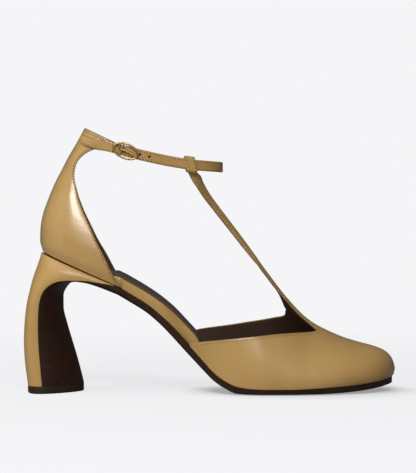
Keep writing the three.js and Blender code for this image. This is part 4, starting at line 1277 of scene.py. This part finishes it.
def srgb(red, green, blue):
    """A colour as a screen shows it, from 0 to 255, as the linear colour that a shader takes."""
    linear = [v / 255 / 12.92 if v <= 10 else ((v / 255 + 0.055) / 1.055) ** 2.4 for v in (red, green, blue)]
    return (*linear, 1.0)


print("a screen grey of 188 is", round(srgb(188, 188, 188)[0], 3), "in linear light")

# %% [markdown]
# The upper's leather is smooth and highly polished: a soft colour with slow clouds in it, a very fine
# grain under a clear coat, and darker rolled edges, partly edge paint and partly painted shade.

# %% Polished gold leather
PORE_SCALE = 2600
RIPPLE_SCALE = 420
EDGE_MOTTLE_SCALE = 300


def gold_leather(name, cloud_scale, grain, coat, coat_roughness):
    leather = Finish(name, GOLD, 0.34, coat_weight=coat, coat_roughness=coat_roughness,
                     specular_ior_level=0.35)
    place = leather.place()
    clouds = leather.noise(cloud_scale, 3, 0.5, place)
    pores = leather.noise(PORE_SCALE, 2, 0.6, place)
    ripple = leather.noise(RIPPLE_SCALE, 2, 0.5, place)
    colour = leather.blend(leather.between(clouds, 0.35, 0.65), GOLD_DEEP, GOLD_LIGHT)
    colour = leather.blend(leather.between(pores, 0.35, 0.75, 0.0, 0.22), colour, GOLD_DEEP)
    # Darker, mottled edges: partly edge paint, partly painted shade along the edges.
    edge_mottle = leather.between(leather.noise(EDGE_MOTTLE_SCALE, 2, 0.5, place), 0.3, 0.7, 0.35, 0.75)
    edge_paint_and_shade = leather.attribute("edge") * edge_mottle
    leather.set(leather.shader, "Base Color", leather.blend(edge_paint_and_shade, colour, GOLD_EDGE_PAINT_AND_SHADE))
    leather.set(leather.shader, "Roughness", leather.between(clouds, 0.3, 0.7, 0.3, 0.38) + edge_paint_and_shade * 0.12)
    leather.bump(pores * 0.35 + ripple * 0.65, grain)
    return leather.material


GOLD = srgb(173, 139, 84)
GOLD_LIGHT = srgb(177, 143, 88)
GOLD_DEEP = srgb(165, 130, 76)
# The edge colour: partly edge paint, partly painted shade.
GOLD_EDGE_PAINT_AND_SHADE = srgb(122, 90, 48)
quarter_gold = gold_leather("quarter_gold_leather", 22, 0.000008, 1.0, 0.23)
vamp_gold = gold_leather("vamp_gold_leather", 22, 0.000008, 0.35, 0.26)
rim_gold = gold_leather("rim_gold_leather", 22, 0.000003, 0.2, 0.4)
strap_gold = gold_leather("strap_gold_leather", 60, 0.00001, 0.35, 0.25)
heel_gold = gold_leather("heel_gold_leather", 18, 0.000005, 0.0, 0.45)
print("gold in linear light", [round(v, 3) for v in GOLD[:3]])

# %% [markdown]
# The other finishes: a dark brown lining with a soft nap, a burnished sole whose fibres run along the
# shoe, a matte sock, rubber for the heel's tip, thread, painted shade for needle holes and punched holes,
# and gold plate.

# %% Other finishes
def soft_leather(name, dark, light, roughness, grain, scale):
    leather = Finish(name, dark, roughness, specular_ior_level=0.35)
    place = leather.place()
    nap = leather.noise(scale, 4, 0.65, place)
    tone = leather.noise(45, 3, 0.5, place)
    colour = leather.blend(leather.between(nap, 0.3, 0.7), dark, light)
    leather.set(leather.shader, "Base Color", leather.blend(tone * 0.35, colour, dark))
    leather.set(leather.shader, "Roughness",
                leather.between(nap, 0.3, 0.7, roughness - 0.08, roughness + 0.08))
    leather.bump(nap, grain)
    return leather.material


def stretched_finish(name, dark, light, roughness, stretch, scale, grain, coat, **constants):
    """A finish whose grain is drawn out along the shoe, as fibres, brush marks or a burnish are."""
    finish = Finish(name, dark, roughness, coat_weight=coat, coat_roughness=0.25, **constants)
    drawn = finish.node("ShaderNodeMapping", None, {"Vector": finish.place(), "Scale": stretch})
    fibres = finish.noise(scale, 4, 0.6, drawn)
    finish.set(finish.shader, "Base Color", finish.blend(finish.between(fibres, 0.3, 0.7), dark, light))
    finish.set(finish.shader, "Roughness",
               finish.between(fibres, 0.3, 0.7, roughness - 0.06, roughness + 0.06))
    finish.bump(fibres, grain)
    return finish


lining_brown = soft_leather("lining_brown_suede", srgb(56, 38, 28), srgb(78, 56, 44), 0.8, 0.00008, 1800)
sock_brown = soft_leather("sock_grey_brown", srgb(62, 52, 45), srgb(98, 86, 76), 0.78, 0.00007, 1500)
sole_brown = stretched_finish("sole_burnished_leather", srgb(34, 18, 11), srgb(54, 31, 21), 0.5,
                              (0.25, 1, 1), 900, 0.00004, 0, specular_ior_level=0.25).material
tip_rubber = soft_leather("tip_rubber", srgb(36, 24, 16), srgb(46, 32, 22), 0.62, 0.00003, 2500)
thread = stretched_finish("linen_thread", srgb(190, 158, 106), srgb(216, 188, 138), 0.55,
                          (1, 1, 1), 3500, 0.00003, 0).material
# Painted shade: the dark inside needle holes and on the walls of punched holes.
hole_painted_shade = soft_leather("needle_hole_painted_shade", srgb(56, 39, 22), srgb(76, 54, 32), 0.7, 0.00002, 3000)
plate = stretched_finish("gold_plated_metal", srgb(192, 154, 94), srgb(204, 166, 106), 0.4,
                         (0.4, 1, 1), 60, 0.0000005, 0)
plate.set(plate.shader, "Metallic", 1.0)
gold_plate = plate.material
print("finishes", len(bpy.data.materials))

# %% [markdown]
# Two holes are punched into the strap from its outer face, and a short slot at the bar gives the prong's
# bend room in the strap's end and the tab's end. A Boolean cuts them, and the cutter's own dark finish, a
# painted shade, is carried over to the walls of the cuts.

# %% Holes in the ankle strap, slot for the prong
HOLE_PLACES = (-41.8, -36.1)
HOLE_RADIUS = 0.68
HOLE_DEPTH = 1.2
HOLE_START = 0.6
HOLE_SIDES = 24
SLOT_LENGTH = 4.0
SLOT_WIDTH = 1.7
SLOT_FROM, SLOT_TO = -0.6, 2.1


def punched(piece, hole_rings):
    """Cuts plugs, each given as two rings, out of a leather piece and lines the cuts with the painted hole
    shade.
    """
    plugs = joined([([p for ring in rings for p in ring], loop_faces(rings)) for rings in hole_rings])
    cutter = finished_piece("hole_cutter", *plugs)
    # The cutter carries the painted hole shade onto the cut walls.
    cutter.data.materials.append(hole_painted_shade)
    piece.data.materials.append(strap_gold)
    punch = piece.modifiers.new("holes", "BOOLEAN")
    punch.object = cutter
    punch.operation = "DIFFERENCE"
    punch.solver = "EXACT"
    punch.material_mode = "TRANSFER"
    bpy.context.view_layer.update()
    mesh = bpy.data.meshes.new_from_object(piece.evaluated_get(bpy.context.evaluated_depsgraph_get()))
    piece.modifiers.clear()
    piece.data = mesh
    bpy.data.objects.remove(cutter)
    print(piece.name, "punched faces", len(mesh.polygons), "finishes", len(mesh.materials))


hole_turns = [2 * math.pi * i / HOLE_SIDES for i in range(HOLE_SIDES)]
strap_plugs = []
for x in HOLE_PLACES:
    at = solve(lambda place: ankle_point(place).x, x, STRAP_START, LOOP_AT)
    centre, along, outward, up = ankle_frame(at)
    strap_plugs.append([[centre + outward * (STRAP_THICKNESS / 2 + out)
                         + (along * math.cos(a) + up * math.sin(a)) * HOLE_RADIUS for a in hole_turns]
                        for out in (-HOLE_DEPTH, HOLE_START)])
prong_slot = [[in_buckle(BAR_AT + math.cos(a) * SLOT_LENGTH / 2, y, math.sin(a) * SLOT_WIDTH / 2)
               for a in hole_turns] for y in (SLOT_FROM, SLOT_TO)]
punched(ankle_strap, strap_plugs + [prong_slot])
punched(buckle_tab, [prong_slot])

# %% [markdown]
# Every row of stitches is a line on the leather that knows which way the leather faces. A Geometry Nodes
# tree resamples the line at the stitch length, lays a short thread along it at each point, and sets a
# small dark disc between two stitches, painted shade of the needle hole. The result becomes a plain mesh.

# %% The stitch tree
def stitch_tree():
    tree = bpy.data.node_groups.new("stitch_rows", "GeometryNodeTree")
    sockets = {}
    for name, kind in (("Geometry", "NodeSocketGeometry"), ("Pitch", "NodeSocketFloat"),
                       ("Stitch Length", "NodeSocketFloat"), ("Thread Radius", "NodeSocketFloat"),
                       ("Hole Radius", "NodeSocketFloat"), ("Seed", "NodeSocketInt"),
                       ("Thread", "NodeSocketMaterial"), ("Hole", "NodeSocketMaterial")):
        sockets[name] = tree.interface.new_socket(name=name, in_out="INPUT", socket_type=kind)
    tree.interface.new_socket(name="Geometry", in_out="OUTPUT", socket_type="NodeSocketGeometry")
    given = tree.nodes.new("NodeGroupInput").outputs

    def node(kind, settings=None, inputs=None):
        made = tree.nodes.new(kind)
        for name, value in (settings or {}).items():
            setattr(made, name, value)
        for name, value in (inputs or {}).items():
            if isinstance(value, bpy.types.NodeSocket):
                tree.links.new(value, made.inputs[name])
            else:
                made.inputs[name].default_value = value
        return made.outputs

    def shape(length, width, height, rings):
        ball = node("GeometryNodeMeshUVSphere", None, {"Segments": 8, "Rings": rings, "Radius": 1.0})
        size = node("ShaderNodeCombineXYZ", None, {"X": length, "Y": width, "Z": height})
        return node("GeometryNodeTransform", None, {"Geometry": ball["Mesh"], "Scale": size["Vector"]})

    def part_of(value, share):
        return node("ShaderNodeMath", {"operation": "MULTIPLY"}, {0: value, 1: share})["Value"]

    line = node("GeometryNodeMeshToCurve", None, {"Mesh": given["Geometry"]})
    points = node("GeometryNodeCurveToPoints", {"mode": "LENGTH"},
                  {"Curve": line["Curve"], "Length": given["Pitch"]})
    facing = node("GeometryNodeInputNamedAttribute", {"data_type": "FLOAT_VECTOR"}, {"Name": "facing"})
    along = node("FunctionNodeAlignRotationToVector", {"axis": "X"}, {"Vector": points["Tangent"]})
    turned = node("FunctionNodeAlignRotationToVector", {"axis": "Z", "pivot_axis": "X"},
                  {"Rotation": along["Rotation"], "Vector": facing["Attribute"]})
    vary = node("FunctionNodeRandomValue", {"data_type": "FLOAT_VECTOR"},
                {"Min": (0.9, 0.92, 0.85), "Max": (1.03, 1.08, 1.1), "Seed": given["Seed"]})
    radius = given["Thread Radius"]
    stitch = shape(part_of(given["Stitch Length"], 0.5), radius, part_of(radius, 0.75), 5)
    # A flat dark disc at each needle hole: painted shade of the hole.
    hole = shape(given["Hole Radius"], given["Hole Radius"], part_of(given["Hole Radius"], 0.2), 4)
    rows = node("GeometryNodeInstanceOnPoints", None,
                {"Points": points["Points"], "Instance": stitch["Geometry"],
                 "Rotation": turned["Rotation"], "Scale": vary["Value"]})
    holes = node("GeometryNodeInstanceOnPoints", None,
                 {"Points": points["Points"], "Instance": hole["Geometry"], "Rotation": turned["Rotation"]})
    step = node("ShaderNodeCombineXYZ", None, {"X": part_of(given["Pitch"], 0.5)})
    between = node("GeometryNodeTranslateInstances", None,
                   {"Instances": holes["Instances"], "Translation": step["Vector"]})
    finished = []
    for instances, material in ((rows["Instances"], "Thread"), (between["Instances"], "Hole")):
        real = node("GeometryNodeRealizeInstances", None, {"Geometry": instances})
        finished.append(node("GeometryNodeSetMaterial", None,
                             {"Geometry": real["Geometry"], "Material": given[material]})["Geometry"])
    joined = tree.nodes.new("GeometryNodeJoinGeometry")
    result = tree.nodes.new("NodeGroupOutput")
    for geometry in finished:
        tree.links.new(geometry, joined.inputs[0])
    tree.links.new(joined.outputs[0], result.inputs[0])
    return tree, {name: socket.identifier for name, socket in sockets.items()}


STITCHES, STITCH_INPUTS = stitch_tree()


STITCH_SHARE = 0.62
THREAD_RADIUS = 0.2
NEEDLE_RADIUS = 0.33


def stitched(name, seams, pitch, seed):
    """Stitches along seams, each a list of (place, facing). A stitch takes a fixed share of the pitch."""
    points, edges, facings = [], [], []
    for seam in seams:
        first = len(points)
        points += [place for place, _ in seam]
        facings += [part for _, facing in seam for part in facing]
        edges += [(first + i, first + i + 1) for i in range(len(seam) - 1)]
    mesh = bpy.data.meshes.new(name + "_line")
    mesh.from_pydata([(p + ORIGIN_STEP) * MM for p in points], edges, [])
    mesh.attributes.new("facing", "FLOAT_VECTOR", "POINT").data.foreach_set("vector", facings)
    line = bpy.data.objects.new(name + "_line", mesh)
    bpy.context.scene.collection.objects.link(line)
    rows = line.modifiers.new("stitches", "NODES")
    rows.node_group = STITCHES
    # The Hole finish is painted shade for the needle holes.
    given = {"Pitch": pitch * MM, "Stitch Length": pitch * STITCH_SHARE * MM,
             "Thread Radius": THREAD_RADIUS * MM, "Hole Radius": NEEDLE_RADIUS * MM,
             "Seed": seed, "Thread": thread, "Hole": hole_painted_shade}
    for socket, value in given.items():
        rows[STITCH_INPUTS[socket]] = value
    bpy.context.view_layer.update()
    plain = bpy.data.meshes.new_from_object(line.evaluated_get(bpy.context.evaluated_depsgraph_get()))
    bpy.data.objects.remove(line)
    plain.shade_smooth()
    piece = bpy.data.objects.new(name, plain)
    bpy.context.scene.collection.objects.link(piece)
    print(name, "faces", len(plain.polygons))
    return piece


# %% [markdown]
# The seams follow the edges of their pieces at a steady distance. The toplines have short stitches, the
# quarter and the straps longer ones, and the tab's row goes round its end.

# %% Seams
EDGE_SEAM = 1.4
STRAP_SEAM = 0.95
STRIP_SEAM = 1.25
LOOP_SEAM = 2.3
THREAD_LIFT = 0.04


def lifted(place, facing):
    return place + facing * THREAD_LIFT, facing


def topline_seam(side, topline, notch):
    seam = []
    for x in spread(VAMP_BACK + 0.003, notch - 0.004, 60):
        t = side * across_at_height(x, Z(topline(x)) - EDGE_SEAM)
        seam.append(lifted(vamp_surface(x, t), vamp_normal(x, t)))
    return seam


def strip_seam(side, foot, notch):
    seam = []
    for x in spread(notch - 0.006, FOOT_START, 24):
        t = side * across_at_width(x, Y(foot(x)) - STRIP_SEAM)
        seam.append(lifted(vamp_surface(x, t), vamp_normal(x, t)))
    for at in spread(0, 4.75, 80)[1:]:
        inset = 1 - STRIP_SEAM / (strip_lines["width"](at) / 2)
        seam.append(lifted(*strip_surface(at, side * inset)))
    return seam


def quarter_front_seam(side):
    seam = []
    for row in spread(0.25, LAST_QUARTER_ROW - 0.6, 60):
        rim = quarter_surface(row, side)
        t = solve(lambda across: (quarter_surface(row, side * across) - rim).length, EDGE_SEAM, 0.5, 1)
        seam.append(lifted(quarter_surface(row, side * t), quarter_normal(row, side * t)))
    return seam


def quarter_top_seam():
    seam = []
    for t in spread(-0.93, 0.93, 50):
        rim = quarter_surface(LAST_QUARTER_ROW, t)
        row = solve(lambda place: (quarter_surface(place, t) - rim).length, EDGE_SEAM,
                    LAST_QUARTER_ROW - 2, LAST_QUARTER_ROW)
        seam.append(lifted(quarter_surface(row, t), quarter_normal(row, t)))
    return seam


def strap_seam(side, face):
    seam = []
    for at in spread(STRAP_START + 0.06, STRAP_END - 0.05, 160):
        centre, _, outward, up = ankle_frame(at)
        facing = outward * face
        place = centre + facing * (STRAP_THICKNESS / 2) + up * (side * (STRAP_WIDTH / 2 - STRAP_SEAM))
        seam.append(lifted(place, facing))
    return seam


def tab_seam():
    round_radius = TAB_ROUND - STRAP_SEAM
    lower, upper = [], []
    for x, station in tab_stations:
        past = x - TAB_BACK - STRAP_SEAM
        if past < 0:
            continue
        rise = round_radius * end_scale(past, round_radius)
        for side, row in ((-1, lower), (1, upper)):
            place = tab_point(station, side * rise, TAB_THICKNESS)
            facing = (place - tab_point(station, side * rise, 0)).normalized()
            row.append(lifted(place, facing))
    return list(reversed(lower)) + upper


def loop_seam(side):
    seam = []
    for angle in spread(2.15, 4.1, 24):
        rise = squared_off(math.sin(angle), BAND_SQUARENESS)
        deep = squared_off(math.cos(angle), BAND_SQUARENESS)
        place = loop_centre - loop_outward * (loop_deep * deep) + loop_rise * (loop_high * rise)
        seam.append((place + loop_along * side * LOOP_SEAM - loop_outward * deep * 0.1, loop_outward))
    return seam


vamp_stitches = stitched("vamp_stitches", [topline_seam(-1, outer_top, OUTER_NOTCH),
                                           topline_seam(1, inner_top, INNER_NOTCH)], 2.0, seed=2)
strip_stitches = stitched("strap_foot_stitches", [strip_seam(-1, foot_outer, OUTER_NOTCH),
                                                  strip_seam(1, foot_inner, INNER_NOTCH)], 1.8, seed=3)
quarter_stitches = stitched("quarter_stitches", [quarter_front_seam(-1), quarter_front_seam(1),
                                                 quarter_top_seam()], 1.6, seed=4)
strap_stitches = stitched("ankle_strap_stitches", [strap_seam(side, face) for side in (-1, 1)
                                                   for face in (-1, 1)], 1.7, seed=5)
tab_stitches = stitched("buckle_tab_stitches", [tab_seam()], 1.7, seed=6)
loop_stitches = stitched("loop_stitches", [loop_seam(-1), loop_seam(1)], 1.7, seed=7)

# %% [markdown]
# Each piece gets its finish, rides on the shoe's one body and stands for its CAD node, which is hidden.
# Linings and stitches belong to the piece that they are sewn to.

# %% Finishes and the frame
PIECES = (
    (outsole, sole_brown, "sole_leather", "outsole"),
    (heel, heel_gold, "upper_leather", "heel"),
    (top_piece, tip_rubber, "top_piece_rubber", "top_piece"),
    (footbed, rim_gold, "upper_leather", "footbed"),
    (sock, sock_brown, "sock_leather", "insole"),
    (quarter, quarter_gold, "upper_leather", "quarter"),
    (quarter_lining, lining_brown, "upper_leather", "quarter"),
    (vamp, vamp_gold, "upper_leather", "vamp"),
    (vamp_lining, lining_brown, "upper_leather", "vamp"),
    (strap_loop, strap_gold, "upper_leather", "vamp"),
    (ankle_strap, None, "upper_leather", "ankle_strap"),
    (buckle_tab, None, "upper_leather", "buckle_tab"),
    (buckle_frame, gold_plate, "buckle_metal", "buckle_frame"),
    (buckle_prong, gold_plate, "buckle_metal", "buckle_prong"),
    (vamp_stitches, None, "upper_leather", "vamp"),
    (strip_stitches, None, "upper_leather", "vamp"),
    (quarter_stitches, None, "upper_leather", "quarter"),
    (strap_stitches, None, "upper_leather", "ankle_strap"),
    (tab_stitches, None, "upper_leather", "buckle_tab"),
    (loop_stitches, None, "upper_leather", "vamp"),
)
for piece, material, slot, node in PIECES:
    if material:
        piece.data.materials.append(material)
    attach(piece, "root")
    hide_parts(node)
print("pieces", len(PIECES), "faces", sum(len(piece.data.polygons) for piece, *_ in PIECES))

# %% [markdown]
# The stage is a plain pale floor that melts into a background of the same tone, so that only a faint
# shadow shows where the shoe stands. To the camera most of the floor's tone is given, and the rest is
# real light on it, which is what lets the shadow in. More real light is let in under the forepart, in an
# ellipse, so that the shadow is deepest where the sole touches. Other rays meet a dull plain floor.

# %% Floor and world
PALE = srgb(245, 245, 247)
FLOOR_SHADOW_SHARE = 0.2
CONTACT_SHARE = 0.45
CONTACT_CENTRE = (0.056, -0.006, 0)
CONTACT_HALF = (0.066, 0.05, 1)
SHADOW_START = 0.12
SHADOW_REACH = 0.55
FLOOR_HALF = 30.0

floor_mesh = bpy.data.meshes.new("floor")
floor_mesh.from_pydata([(-FLOOR_HALF, -FLOOR_HALF, 0), (FLOOR_HALF, -FLOOR_HALF, 0),
                        (FLOOR_HALF, FLOOR_HALF, 0), (-FLOOR_HALF, FLOOR_HALF, 0)], [], [(0, 1, 2, 3)])
floor = bpy.data.objects.new("floor", floor_mesh)
bpy.context.scene.collection.objects.link(floor)
paint = Finish("floor_pale", srgb(236, 236, 238), 0.9)
glow = paint.node("ShaderNodeEmission", None, {"Color": PALE, "Strength": 1.0})
from_shoe = paint.node("ShaderNodeVectorMath", {"operation": "LENGTH"}, {0: paint.place()}, "Value")
share = paint.between(from_shoe, SHADOW_START, SHADOW_REACH, FLOOR_SHADOW_SHARE, 0.0)
under_sole = paint.node("ShaderNodeMapping", {"vector_type": "TEXTURE"},
                        {"Vector": paint.place(), "Location": CONTACT_CENTRE, "Scale": CONTACT_HALF})
off_sole = paint.node("ShaderNodeVectorMath", {"operation": "LENGTH"}, {0: under_sole}, "Value")
share = share + paint.between(off_sole, 0.8, 1.15, CONTACT_SHARE, 0.0)
seen = paint.node("ShaderNodeMixShader", None,
                  {0: share, 1: glow, 2: Wire(paint, paint.shader.outputs[0])})
camera_ray = paint.node("ShaderNodeLightPath", output="Is Camera Ray")
bounce = paint.node("ShaderNodeBsdfDiffuse", None, {"Color": srgb(150, 146, 140)})
shown = paint.node("ShaderNodeMixShader", None, {0: camera_ray, 1: bounce, 2: seen})
paint.set(paint.tree.nodes["Material Output"], "Surface", shown)
floor_mesh.materials.append(paint.material)

world = bpy.data.worlds.new("pale_studio")
bpy.context.scene.world = world
world.use_nodes = True
sky = world.node_tree
AMBIENT = 0.085
background = sky.nodes["Background"]
background.inputs["Color"].default_value = PALE
dim = sky.nodes.new("ShaderNodeBackground")
dim.inputs["Color"].default_value = (1, 1, 1, 1)
dim.inputs["Strength"].default_value = AMBIENT
rays = sky.nodes.new("ShaderNodeLightPath")
choice = sky.nodes.new("ShaderNodeMixShader")
sky.links.new(rays.outputs["Is Camera Ray"], choice.inputs[0])
sky.links.new(dim.outputs[0], choice.inputs[1])
sky.links.new(background.outputs[0], choice.inputs[2])
sky.links.new(choice.outputs[0], sky.nodes["World Output"].inputs["Surface"])
print("floor half side", FLOOR_HALF, "m, ambient", AMBIENT)

# %% [markdown]
# Product light is large and soft. A wide weak box hangs over the heel's end, a tall one stands at the left,
# and a smaller box in front gives the polished leather its bright patch. The left box is hidden from
# mirrored rays, which a real lamp can't be, so that it lights the leather and leaves no second patch.

# %% Lights
def soft_box(name, place, target, size, power, mirrored=True):
    light = bpy.data.lights.new(name, "AREA")
    light.shape = "RECTANGLE"
    light.size, light.size_y = size
    light.energy = power
    box = bpy.data.objects.new(name, light)
    aim = Vector(target) - Vector(place)
    box.matrix_world = Matrix.Translation(place) @ aim.to_track_quat("-Z", "Y").to_matrix().to_4x4()
    box.visible_glossy = mirrored
    bpy.context.scene.collection.objects.link(box)
    return box


soft_box("overhead_box", (-0.6, -0.3, 1.4), (0, 0, 0.05), (1.3, 1.0), 8)
soft_box("left_box", (-1.4, -0.9, 0.6), (0, 0, 0.07), (0.8, 1.0), 12, mirrored=False)
soft_box("front_box", (-0.15, -1.4, 1.12), (0, 0, 0.08), (0.75, 0.42), 20)

# %% [markdown]
# The photograph was taken from far away with a long lens, almost level with the ankle. The camera stands
# a metre and a half off and looks down by less than two degrees.

# %% Camera
CAMERA_DISTANCE = 1.493
CAMERA_HEIGHT = 0.1393
CAMERA_SIDE = -0.0012
CAMERA_PITCH = math.radians(1.775)
FOCAL_LENGTH = 188.5
lens = bpy.data.cameras.new("photo_camera")
lens.sensor_width = 36
lens.lens = FOCAL_LENGTH
lens.clip_end = 200
camera = bpy.data.objects.new("photo_camera", lens)
camera.location = (CAMERA_SIDE, -CAMERA_DISTANCE, CAMERA_HEIGHT)
camera.rotation_euler = (math.pi / 2 - CAMERA_PITCH, 0, 0)
bpy.context.scene.collection.objects.link(camera)
bpy.context.scene.camera = camera
bpy.context.scene.view_settings.view_transform = "Standard"
print("camera at", tuple(camera.location))
